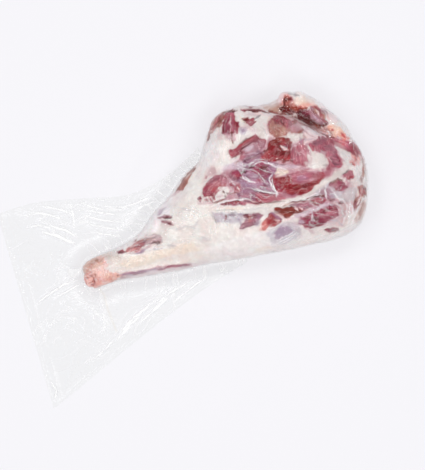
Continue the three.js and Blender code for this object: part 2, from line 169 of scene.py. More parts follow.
# Areas of the upper face, painted in this order: tone, grain in degrees, soft edge, cover and outline
AREAS = [
    # Pinker ground under the cut face and the near side
    ("rose", -10, 9, 0.85,
     [(200, 8), (222, 34), (262, 42), (292, 62), (330, 72), (372, 30), (404, -12), (380, -30), (300, -42),
      (232, -12)]),
    ("rose", -20, 12, 0.6, [(288, -50), (350, -46), (384, -62), (364, -92), (316, -92), (290, -76)]),
    ("bright fat", 60, 4, 0.9,
     [(293, 72), (303, 76), (310, 62), (308, 50), (302, 46), (296, 52), (292, 60)]),
    ("fat", 0, 4, 0.8, [(309, 46), (322, 44), (336, 38), (348, 34), (342, 28), (328, 34), (316, 42)]),
    # Shank
    ("cream", -14, 7, 0.65,
     [(42, -10), (60, -12), (100, -19), (150, -30), (152, -44), (100, -32), (56, -23)]),
    ("peach", -18, 14, 0.25,
     [(110, -40), (215, -60), (290, -88), (350, -98), (335, -115), (180, -78), (110, -58)]),
    ("raw pink", -10, 3, 0.95,
     [(-8, 8), (0, 11), (14, 12), (25, 10), (33, 6), (34, -4), (30, -12), (38, -20), (41, -28), (24, -30),
      (4, -27), (-8, -24), (-12, -8)]),
    ("tan", 0, 3, 0.65, [(-8, 0), (-6, 9), (10, 10), (22, 8), (31, 4), (24, -1), (10, 0), (2, -3)]),
    ("salmon", -10, 3, 0.35,
     [(-10, -10), (0, -4), (6, -6), (12, -10), (20, -17), (14, -24), (4, -27), (-8, -24)]),
    ("orange fat", -14, 4, 0.4, [(20, -18), (30, -17), (36, -20), (41, -27), (32, -27), (24, -25)]),
    ("bright fat", -10, 3, 0.7, [(27, -8), (34, -9), (42, -15), (38, -18), (31, -14)]),
    ("shaded fat", -10, 4, 0.6, [(34, 6), (44, 5), (54, -2), (56, -8), (46, -10), (36, -8)]),
    ("rose", -20, 3, 0.6,
     [(40, -25), (60, -31), (80, -36), (100, -41), (116, -46), (136, -56), (152, -65), (132, -60),
      (108, -54), (84, -44), (62, -38), (42, -31)]),
    ("salmon red", -6, 2.5, 0.85,
     [(64, 0), (70, 3), (80, 5), (90, 4), (96, 0), (90, -4), (80, -6), (70, -4)]),
    ("mauve rose", -20, 5, 0.6,
     [(88, 4), (98, 5), (108, 3), (114, -1), (115, -9), (108, -12), (98, -9), (88, -4)]),
    # Painted light: white along the shank's upper outline, against the shade on its sloping side
    ("white", -20, 5, 0.7,
     [(56, 6), (76, 10), (92, 14), (108, 25), (124, 35), (142, 40), (152, 34), (140, 20), (122, 12),
      (114, 5), (92, 9), (72, 7)]),
    ("white", 40, 10, 0.4, [(205, 50), (222, 50), (240, 60), (240, 75), (228, 78), (212, 64)]),
    # Painted light: white on the near side's sloping fat, against the shade that falls there
    ("white", -18, 12, 0.45, [(150, -48), (200, -50), (250, -64), (290, -92), (250, -88), (190, -74)]),
    ("rose red", -6, 2, 0.6, [(76, 1), (82, 2), (87, -1), (86, -5), (79, -4)]),
    # Heel and calf
    ("brown red", 28, 2.2, 0.85,
     [(158, 39), (170, 48), (186, 56), (203, 63), (196, 55), (184, 47), (170, 40)]),
    ("mauve rose", 20, 3.5, 0.55, [(209, 38), (210, 43), (215, 48), (221, 45), (221, 38), (214, 36)]),
    ("rose red", 10, 2, 0.96,
     [(191, 15), (191, 22), (195, 28), (201, 32), (210, 34), (220, 34), (226, 30), (229, 25), (228, 20),
      (221, 18), (213, 17), (207, 13), (202, 12), (197, 14)]),
    ("salmon red", 10, 4, 0.7, [(203, 20), (204, 26), (214, 28), (224, 26), (223, 20), (212, 20)]),
    ("rose", 10, 4, 0.35, [(203, 24), (208, 33), (221, 34), (226, 28), (216, 22)]),
    ("rose", 60, 4, 0.6, [(219, 20), (222, 28), (229, 27), (230, 19)]),
    ("magenta", 60, 3, 0.5, [(191, 16), (193, 26), (199, 28), (201, 20), (204, 15), (198, 13)]),
    ("pink fat", 60, 4, 0.5, [(197, 34), (204, 42), (212, 48), (221, 48), (222, 36), (212, 36)]),
    ("bright fat", -10, 2.5, 0.9,
     [(205, 12), (210, 16), (219, 17), (227, 15), (228, 9), (224, 6), (214, 4), (203, 4), (201, 8)]),
    ("rose", 60, 2.5, 0.7, [(223, 16), (230, 18), (237, 14), (238, 5), (231, 3), (226, 7)]),
    ("magenta", -24, 2, 0.97,
     [(204, 0), (212, -1), (222, -4), (230, -9), (239, -16), (235, -18), (226, -14), (218, -10), (209, -5)]),
    ("mauve", -30, 3, 0.92,
     [(234, 24), (241, 29), (250, 31), (264, 34), (280, 31), (292, 22), (297, 10), (296, 1), (284, -3),
      (278, -22), (262, -13), (248, -7), (236, -2), (240, 8), (238, 16), (234, 20)]),
    ("pink", -28, 2, 0.92,
     [(231, -2), (240, -3), (250, -7), (260, -12), (270, -18), (278, -23), (286, -26), (290, -34),
      (284, -37), (270, -34), (256, -29), (243, -23), (234, -15)]),
    ("mauve", -28, 5, 0.75, [(231, 0), (246, -3), (254, -12), (250, -19), (242, -18), (233, -10)]),
    ("mauve rose", -28, 4, 0.5, [(233, -3), (243, -3), (252, -8), (252, -14), (244, -17), (236, -12)]),
    ("rose red", -28, 4, 0.6, [(252, -15), (262, -18), (276, -26), (274, -30), (260, -26), (251, -22)]),
    ("magenta", -20, 2.5, 0.85,
     [(231, 29), (239, 30), (247, 28), (251, 24), (250, 19), (244, 17), (238, 18)]),
    ("pale lilac", -40, 3, 0.6, [(252, 34), (259, 36), (262, 30), (260, 26), (253, 28)]),
    ("pale lilac", -10, 4, 0.7,
     [(228, 36), (238, 34), (248, 31), (253, 28), (257, 34), (252, 40), (240, 41), (230, 40)]),
    ("magenta", -10, 2.5, 0.75, [(267, 22), (277, 24), (287, 20), (289, 14), (280, 10), (269, 13)]),
    ("pink", -10, 2.5, 0.8, [(261, 6), (272, 6), (284, 8), (293, 6), (290, 1), (280, -1), (268, 0)]),
    # Upper left of the butt
    ("brown red", 40, 2, 0.92,
     [(225, 79), (230, 88), (238, 95), (246, 101), (254, 107), (262, 112), (268, 108), (262, 99),
      (256, 94), (250, 90), (246, 92), (240, 91), (233, 85)]),
    ("magenta", 60, 1.6, 0.9,
     [(251, 82), (254, 89), (258, 95), (263, 99), (267, 95), (265, 88), (262, 81), (257, 77)]),
    ("rose", 60, 3, 0.3, [(242, 84), (248, 90), (253, 90), (250, 82), (246, 76), (241, 77)]),
    ("rose red", 95, 1.8, 0.95,
     [(261, 99), (265, 104), (272, 107), (279, 106), (282, 101), (277, 98), (275, 93), (277, 85),
      (277, 78), (272, 74), (266, 74), (266, 84), (266, 91), (262, 95)]),
    ("rose", 70, 3, 0.75, [(254, 80), (262, 80), (268, 74), (264, 66), (258, 66), (255, 72)]),
    ("grey lilac", 20, 2.5, 0.85, [(274, 67), (273, 74), (279, 79), (284, 75), (283, 69), (278, 65)]),
    ("lilac", 20, 2, 0.8, [(275, 69), (276, 74), (280, 76), (281, 70)]),
    ("pink", 70, 2, 0.75, [(263, 81), (265, 89), (268, 95), (270, 92), (268, 84), (265, 76)]),
    ("rust", 40, 3, 0.8, [(251, 96), (258, 101), (264, 106), (266, 101), (260, 96)]),
    ("magenta", 60, 3, 0.7, [(254, 84), (259, 94), (266, 99), (274, 96), (276, 80), (268, 76), (258, 78)]),
    ("rust", 40, 3, 0.8, [(238, 90), (243, 97), (252, 104), (262, 109), (264, 104), (252, 98), (244, 92)]),
    ("salmon", 40, 3, 0.45,
     [(236, 89), (243, 98), (252, 105), (262, 109), (264, 103), (252, 95), (243, 91)]),
    ("rust", 40, 2.5, 0.6, [(250, 96), (257, 102), (265, 105), (266, 100), (259, 96)]),
    ("pink", 70, 3, 0.5, [(268, 98), (276, 104), (281, 101), (275, 96), (270, 93)]),
    ("rose red", 20, 1.8, 0.95,
     [(284, 86), (288, 87), (292, 84), (298, 79), (297, 75), (292, 74), (288, 76), (285, 80)]),
    # Silverside
    ("rose red", 8, 2, 0.92,
     [(247, 47), (247, 55), (252, 57), (258, 56), (263, 59), (270, 61), (280, 62), (290, 60), (296, 54),
      (298, 46), (295, 40), (290, 40), (287, 49), (284, 53), (276, 53), (266, 51), (263, 49), (258, 46),
      (252, 46)]),
    ("rose red", 8, 3, 0.8, [(247, 47), (247, 55), (252, 57), (259, 56), (261, 49), (254, 46)]),
    ("pink", 60, 2.5, 0.85, [(256, 38), (259, 43), (262, 50), (267, 48), (271, 42), (267, 36), (260, 35)]),
    ("rose", 8, 4, 0.8, [(266, 49), (274, 52), (283, 51), (288, 45), (283, 40), (270, 41)]),
    ("pale lilac", 8, 3, 0.8, [(270, 49), (276, 51), (282, 49), (280, 45), (273, 44)]),
    ("mauve rose", 80, 3, 0.7, [(285, 52), (292, 52), (295, 45), (292, 38), (286, 38), (284, 44)]),
    ("mauve", 5, 4, 0.88,
     [(258, 37), (266, 41), (276, 40), (286, 40), (291, 34), (284, 29), (272, 28), (261, 30)]),
    ("mauve rose", 5, 4, 0.5, [(262, 40), (284, 39), (288, 34), (280, 30), (264, 31)]),
    ("mauve rose", 5, 4, 0.4, [(265, 41), (268, 50), (282, 52), (288, 46), (284, 40)]),
    ("red", 20, 2, 0.97,
     [(279, 29), (285, 34), (292, 35), (298, 39), (303, 43), (312, 43), (320, 41), (326, 37), (329, 32),
      (326, 25), (322, 20), (321, 12), (318, 5), (310, 9), (302, 15), (290, 21), (283, 25)]),
    ("pink", 75, 2.5, 0.92,
     [(320, 16), (323, 20), (331, 22), (338, 25), (343, 27), (347, 21), (345, 13), (344, 8), (341, 1),
      (337, -5), (333, -9), (328, -5), (322, 0), (317, 5)]),
    ("seam fat", 0, 3, 0.7,
     [(324, 24), (329, 30), (328, 38), (334, 41), (342, 38), (346, 32), (344, 27), (336, 25)]),
    ("bright fat", 80, 2, 0.95,
     [(345, 14), (349, 14), (350, 2), (354, -3), (360, -6), (362, -14), (360, -21), (354, -25), (346, -23),
      (338, -17), (333, -10), (340, -3), (343, 4)]),
    # Rump
    ("brown pink", 65, 2.5, 0.95,
     [(310, 46), (309, 56), (313, 64), (319, 70), (328, 73), (337, 70), (345, 63), (351, 56), (356, 48),
      (355, 42), (351, 36), (346, 34), (340, 38), (334, 41), (325, 42), (316, 43)]),
    ("salmon red", 65, 5, 0.4, [(334, 50), (344, 48), (352, 44), (349, 38), (340, 41)]),
    ("pink", 60, 3, 0.6, [(333, 50), (335, 60), (342, 60), (345, 54), (340, 48)]),
    ("rose red", 62, 3, 0.5, [(320, 70), (330, 71), (336, 66), (333, 55), (330, 50), (327, 56), (324, 62)]),
    ("rose red", 60, 4, 0.75,
     [(321, 68), (328, 70), (335, 66), (337, 60), (332, 54), (329, 60), (323, 62)]),
    ("brown fat", 60, 5, 0.65, [(314, 60), (320, 62), (325, 56), (328, 48), (322, 44), (314, 46)]),
    ("pink", 60, 4, 0.6, [(334, 60), (342, 58), (345, 50), (340, 44), (333, 48)]),
    ("rose", 60, 4, 0.6, [(333, 41), (337, 50), (349, 48), (355, 42), (350, 37), (342, 37)]),
    ("tan", 60, 4, 0.4, [(317, 44), (319, 51), (328, 50), (330, 44)]),
    ("blush fat", 20, 3, 0.8, [(346, 21), (350, 31), (356, 35), (362, 28), (365, 19), (356, 18)]),
    ("pink", 75, 2.5, 0.9,
     [(350, 15), (360, 18), (370, 17), (379, 12), (380, 2), (378, -10), (379, -20), (378, -28), (372, -30),
      (367, -27), (366, -19), (368, -11), (365, -4), (357, 0), (350, 6)]),
    ("mauve rose", 20, 4, 0.6, [(351, 16), (362, 17), (374, 13), (370, 9), (356, 10)]),
    ("magenta", 0, 4, 0.5, [(356, 4), (368, 5), (376, 0), (372, -5), (362, -3)]),
    ("bright fat", 110, 1.8, 0.95,
     [(381, 6), (386, 1), (390, -8), (394, -16), (398, -25), (395, -31), (388, -36), (379, -33), (380, -14)]),
    ("pink", 110, 2, 0.93,
     [(389, 5), (395, -1), (400, -7), (405, -13), (409, -20), (409, -30), (405, -34), (401, -28),
      (397, -18), (392, -9)]),
    ("salmon", 60, 2, 0.9, [(387, -30), (394, -27), (401, -30), (403, -36), (397, -40), (389, -38)]),
    ("salmon", 60, 2, 0.8, [(384, 4), (390, 4), (396, -6), (393, -10), (388, -2)]),
    ("salmon", 100, 2, 0.7, [(398, -8), (404, -14), (407, -24), (403, -26), (399, -16)]),
    # Topside
    ("red", -12, 1.8, 0.97,
     [(283, 2), (287, -1), (291, -4), (298, -7), (308, -9), (308, -16), (304, -22), (309, -26), (318, -29),
      (334, -29), (347, -27), (358, -28), (350, -32), (336, -36), (326, -40), (316, -42), (304, -41),
      (294, -35), (286, -28), (282, -20), (281, -8)]),
    ("magenta", 80, 3, 0.5, [(282, -4), (287, -4), (289, -20), (290, -30), (284, -26)]),
    ("pink", -20, 2.5, 0.92,
     [(306, -10), (313, -8), (324, -11), (333, -15), (341, -22), (333, -28), (322, -29), (313, -27),
      (306, -22)]),
    ("mauve", -20, 4, 0.6, [(315, -16), (322, -17), (328, -24), (320, -26), (314, -22)]),
    ("rose red", -20, 2, 0.7, [(336, -22), (346, -25), (362, -28), (354, -32), (342, -34), (333, -31)]),
    ("rose", -30, 3, 0.7, [(283, -27), (290, -29), (299, -35), (305, -41), (298, -42), (287, -36)]),
    ("mauve", -60, 3, 0.8, [(276, 14), (284, 16), (292, 12), (289, 2), (284, -4), (278, 0)]),
    ("cream", 0, 2, 0.85, [(290, -1), (296, 4), (304, 3), (310, -2), (306, -6), (298, -4), (293, -2)]),
    ("mauve", -10, 3, 0.8, [(284, 3), (289, 12), (297, 15), (305, 9), (298, 6), (291, 2)]),
    ("rose", 75, 3, 0.45, [(334, -6), (340, 4), (345, 8), (344, -2), (338, -10)]),
    ("rose", 75, 4, 0.45,
     [(348, -24), (360, -21), (368, -8), (375, -8), (376, -28), (366, -34), (352, -32)]),
    # Near side, below the fat seam
    ("grey lilac", -25, 5, 0.8,
     [(190, -8), (206, -15), (220, -21), (228, -28), (220, -39), (208, -31), (190, -22)]),
    ("mauve rose", -15, 2.5, 0.95,
     [(215, -42), (222, -37), (228, -29), (238, -32), (245, -36), (248, -41), (242, -46), (236, -50),
      (226, -48), (219, -47)]),
    ("wine", -15, 3, 0.3, [(228, -30), (240, -34), (242, -40), (233, -40), (227, -35)]),
    ("red", 12, 1.8, 0.95,
     [(239, -56), (245, -52), (251, -49), (257, -44), (262, -46), (268, -51), (271, -56), (268, -60),
      (254, -61), (243, -60)]),
    ("salmon", 12, 3, 0.6, [(237, -57), (243, -52), (250, -51), (251, -59), (243, -61)]),
    ("rust", -30, 1.6, 0.97,
     [(263, -42), (269, -40), (277, -43), (285, -47), (290, -52), (300, -57), (303, -62), (294, -60),
      (277, -61), (271, -54), (267, -48)]),
    ("grey lilac", 14, 6, 0.6,
     [(243, -66), (262, -61), (278, -66), (288, -76), (285, -90), (262, -92), (246, -85)]),
    ("lilac", 14, 4, 0.92,
     [(251, -73), (257, -67), (264, -65), (270, -67), (275, -73), (280, -82), (270, -82), (255, -81)]),
    ("rose", -10, 4, 0.7,
     [(297, -48), (316, -50), (334, -51), (346, -58), (350, -66), (338, -68), (316, -65)]),
    ("pink", -10, 2.5, 0.75, [(298, -52), (308, -53), (315, -57), (308, -61), (298, -58)]),
    ("rose red", -10, 2, 0.85, [(315, -55), (320, -53), (327, -56), (329, -60), (318, -61)]),
    ("grey lilac", -40, 4, 0.7,
     [(328, -46), (342, -43), (356, -44), (364, -62), (352, -66), (338, -58), (326, -56)]),
    ("mauve rose", -40, 3, 0.7, [(334, -47), (341, -46), (345, -54), (340, -62), (333, -58), (329, -52)]),
    ("grey fat", -30, 6, 0.7,
     [(350, -62), (362, -64), (374, -60), (380, -64), (372, -78), (360, -78), (351, -70)]),
    ("rose", 60, 7, 0.25, [(326, -92), (344, -84), (354, -84), (352, -98), (340, -104), (326, -100)]),
    ("magenta", 2, 2.5, 0.93,
     [(289, -72), (293, -66), (302, -65), (310, -69), (320, -71), (334, -69), (342, -70), (346, -79),
      (341, -87), (332, -90), (316, -90), (300, -88), (292, -82)]),
    ("pink", 10, 3, 0.6, [(318, -80), (330, -79), (340, -80), (337, -86), (326, -84)]),
    ("magenta", 30, 2, 0.93,
     [(349, -45), (353, -42), (361, -42), (367, -46), (369, -53), (367, -60), (361, -62), (356, -57),
      (352, -52)]),
    ("magenta", 30, 3, 0.5, [(350, -46), (362, -45), (367, -50), (362, -58), (355, -54)]),
    ("rose", 30, 3, 0.7, [(368, -42), (374, -41), (374, -54), (369, -58), (371, -50)]),
    ("pink", 30, 2, 0.9, [(373, -43), (380, -40), (385, -44), (386, -51), (381, -55), (374, -52)]),
    ("brown red", 55, 2.4, 0.8,
     [(363, -92), (364, -86), (370, -79), (376, -72), (381, -65), (388, -67), (391, -73), (387, -80),
      (379, -82), (371, -89)]),
    ("tan", 40, 4, 0.6, [(354, -108), (361, -98), (376, -90), (384, -94), (378, -106), (364, -112)]),
    ("wine", -30, 2, 0.8, [(315, -99), (323, -99), (331, -103), (331, -108), (322, -106)]),
    ("fat", 0, 5, 0.8, [(296, -102), (316, -110), (345, -112), (352, -118), (300, -114)]),
    ("bright fat", -10, 6, 0.7,
     [(236, -94), (290, -107), (345, -118), (348, -108), (300, -98), (250, -88)]),
    # Flap behind the butt, its fat painted in shade where it runs under the butt's edge
    ("shaded fat", 0, 6, 0.85,
     [(296, 98), (316, 88), (332, 78), (342, 84), (346, 96), (330, 104), (300, 106)]),
    ("tan", 0, 5, 0.7, [(314, 85), (322, 81), (332, 75), (340, 80), (344, 88), (334, 92), (320, 93)]),
    ("salmon", 0, 3, 0.9, [(338, 80), (341, 92), (349, 97), (357, 92), (354, 80)]),
    ("brown fat", -30, 4, 0.75, [(319, 82), (326, 87), (335, 86), (343, 80), (339, 73), (331, 75)]),
    ("blush fat", 150, 3, 0.75, [(339, 86), (343, 96), (352, 98), (358, 93), (354, 87), (347, 86)]),
    ("orange fat", 150, 4, 0.5,
     [(356, 70), (355, 79), (362, 80), (372, 76), (379, 70), (384, 62), (376, 60), (366, 66)]),
    ("brown red", 110, 2.5, 0.92, [(342, 77), (345, 84), (350, 87), (354, 84), (354, 79), (349, 76)]),
    ("brown red", 80, 2.5, 0.85,
     [(344, 68), (345, 76), (350, 78), (356, 75), (356, 68), (351, 64), (347, 66)]),
    ("salmon", 60, 3, 0.3, [(346, 72), (345, 84), (350, 91), (357, 86), (358, 74), (352, 68)]),
    ("pink", 0, 2, 0.7, [(352, 86), (357, 84), (358, 79), (354, 79)]),
    ("rust", -20, 2.5, 0.92, [(351, 65), (357, 67), (366, 67), (369, 62), (362, 60), (354, 61)]),
    ("mauve rose", -55, 2.5, 0.9,
     [(360, 58), (370, 59), (380, 58), (386, 48), (386, 36), (384, 28), (374, 28), (366, 40), (362, 46)]),
    ("rust", -20, 3, 0.9, [(349, 63), (352, 69), (360, 68), (369, 65), (368, 60), (358, 59), (350, 60)]),
    ("wine", -55, 3, 0.92,
     [(349, 60), (354, 62), (362, 61), (368, 57), (368, 48), (365, 42), (359, 45), (353, 53)]),
    ("magenta", -55, 3, 0.6, [(356, 55), (360, 60), (366, 57), (366, 50), (361, 50)]),
    ("rose", -55, 3, 0.6, [(367, 46), (371, 49), (377, 44), (378, 36), (374, 36), (369, 41)]),
    ("blush fat", -60, 3, 0.85,
     [(384, 58), (389, 44), (387, 31), (394, 25), (402, 34), (398, 48), (390, 60)]),
    ("white", -60, 4, 0.6,
     [(366, 86), (377, 75), (386, 60), (393, 46), (399, 30), (404, 30), (401, 48), (392, 66), (380, 82),
      (370, 92)]),
    ("orange fat", 120, 3, 0.9,
     [(376, 22), (382, 27), (390, 25), (396, 18), (397, 8), (392, 5), (384, 9), (377, 14)]),
    # Smaller muscles and lobes between the large ones
    ("rose red", 40, 2, 0.85, [(230, 17), (236, 15), (240, 6), (239, 2), (231, 5), (229, 11)]),
    ("magenta", -20, 2.5, 0.7, [(267, 20), (272, 22), (280, 20), (285, 13), (281, 6), (271, 8), (265, 14)]),
    ("mauve", -50, 2.5, 0.7,
     [(270, 7), (279, 5), (283, -3), (279, -14), (274, -19), (268, -12), (266, -2)]),
    ("rose red", -5, 2, 0.8,
     [(319, -54), (326, -54), (333, -57), (334, -61), (329, -64), (322, -63), (318, -59)]),
    ("mauve rose", -5, 3, 0.7, [(287, -45), (304, -49), (316, -56), (312, -61), (302, -58), (294, -51)]),
    ("rose", -50, 4, 0.3, [(321, -82), (338, -84), (346, -97), (340, -104), (327, -97), (319, -91)]),
    ("pink", 60, 2.5, 0.85,
     [(368, -3), (377, -11), (378, -26), (373, -30), (362, -28), (356, -24), (361, -20), (362, -11)]),
    ("mauve rose", -30, 2.5, 0.6,
     [(355, 21), (365, 14), (373, 4), (378, -8), (378, -20), (377, -30), (367, -27), (365, -16), (367, -6),
      (363, 7), (354, 12)]),
    ("pink", -40, 2.5, 0.7,
     [(377, 11), (387, 5), (397, -5), (403, -15), (405, -26), (403, -37), (399, -36), (396, -28),
      (394, -20), (389, -13), (382, -4), (377, 4)]),
    # Painted shade: the near-black crevice where the butt's edge drops to the flap
    ("dark", -35, 1.8, 0.97,
     [(333, 70), (338, 76), (342, 78), (345, 76), (344, 71), (348, 67), (351, 64), (349, 60), (345, 62),
      (339, 66)]),
    ("brown fat", -35, 2.5, 0.8, [(377, 60), (381, 56), (385, 40), (384, 32), (380, 37), (377, 49)]),
    ("salmon", -35, 2, 0.9, [(393, 11), (398, 5), (401, -1), (398, -3), (393, 1)]),
    ("blush fat", 20, 3, 0.8, [(346, 21), (350, 31), (356, 35), (362, 28), (365, 19), (356, 18)]),
    ("magenta", -8, 4, 0.75,
     [(294, -70), (302, -68), (312, -72), (330, -70), (343, -71), (344, -80), (336, -88), (312, -88),
      (298, -82)]),
    ("pink", -8, 4, 0.7, [(323, -76), (334, -78), (341, -77), (340, -84), (330, -87), (322, -84)]),
    ("salmon", 60, 2.5, 0.8, [(388, -29), (395, -25), (403, -26), (403, -35), (397, -39), (389, -37)]),
    ("salmon", 100, 3, 0.85, [(394, -20), (402, -20), (404, -32), (399, -38), (391, -32)]),
    ("pink", 110, 2.5, 0.8,
     [(391, -8), (397, -6), (404, -12), (407, -22), (404, -28), (398, -22), (393, -14)]),
]


def painted_crease_glints_and_shade():
    """Streaks painted on the meat for three film creases over the lilac patch on the near side: a painted
    highlight for each, with its painted shade beside it.
    """
    creases = []
    for y in (-80.5, -83.5, -86.5):
        shade_y = y - 1.4
        creases.append(("white", 1.5, 1.1, 0.8, [(252, y), (266, y - 0.4), (281, y)]))
        creases.append(("grey lilac", 1.5, 1.1, 0.9, [(253, shade_y), (266, shade_y - 0.4), (281, shade_y)]))
    return creases


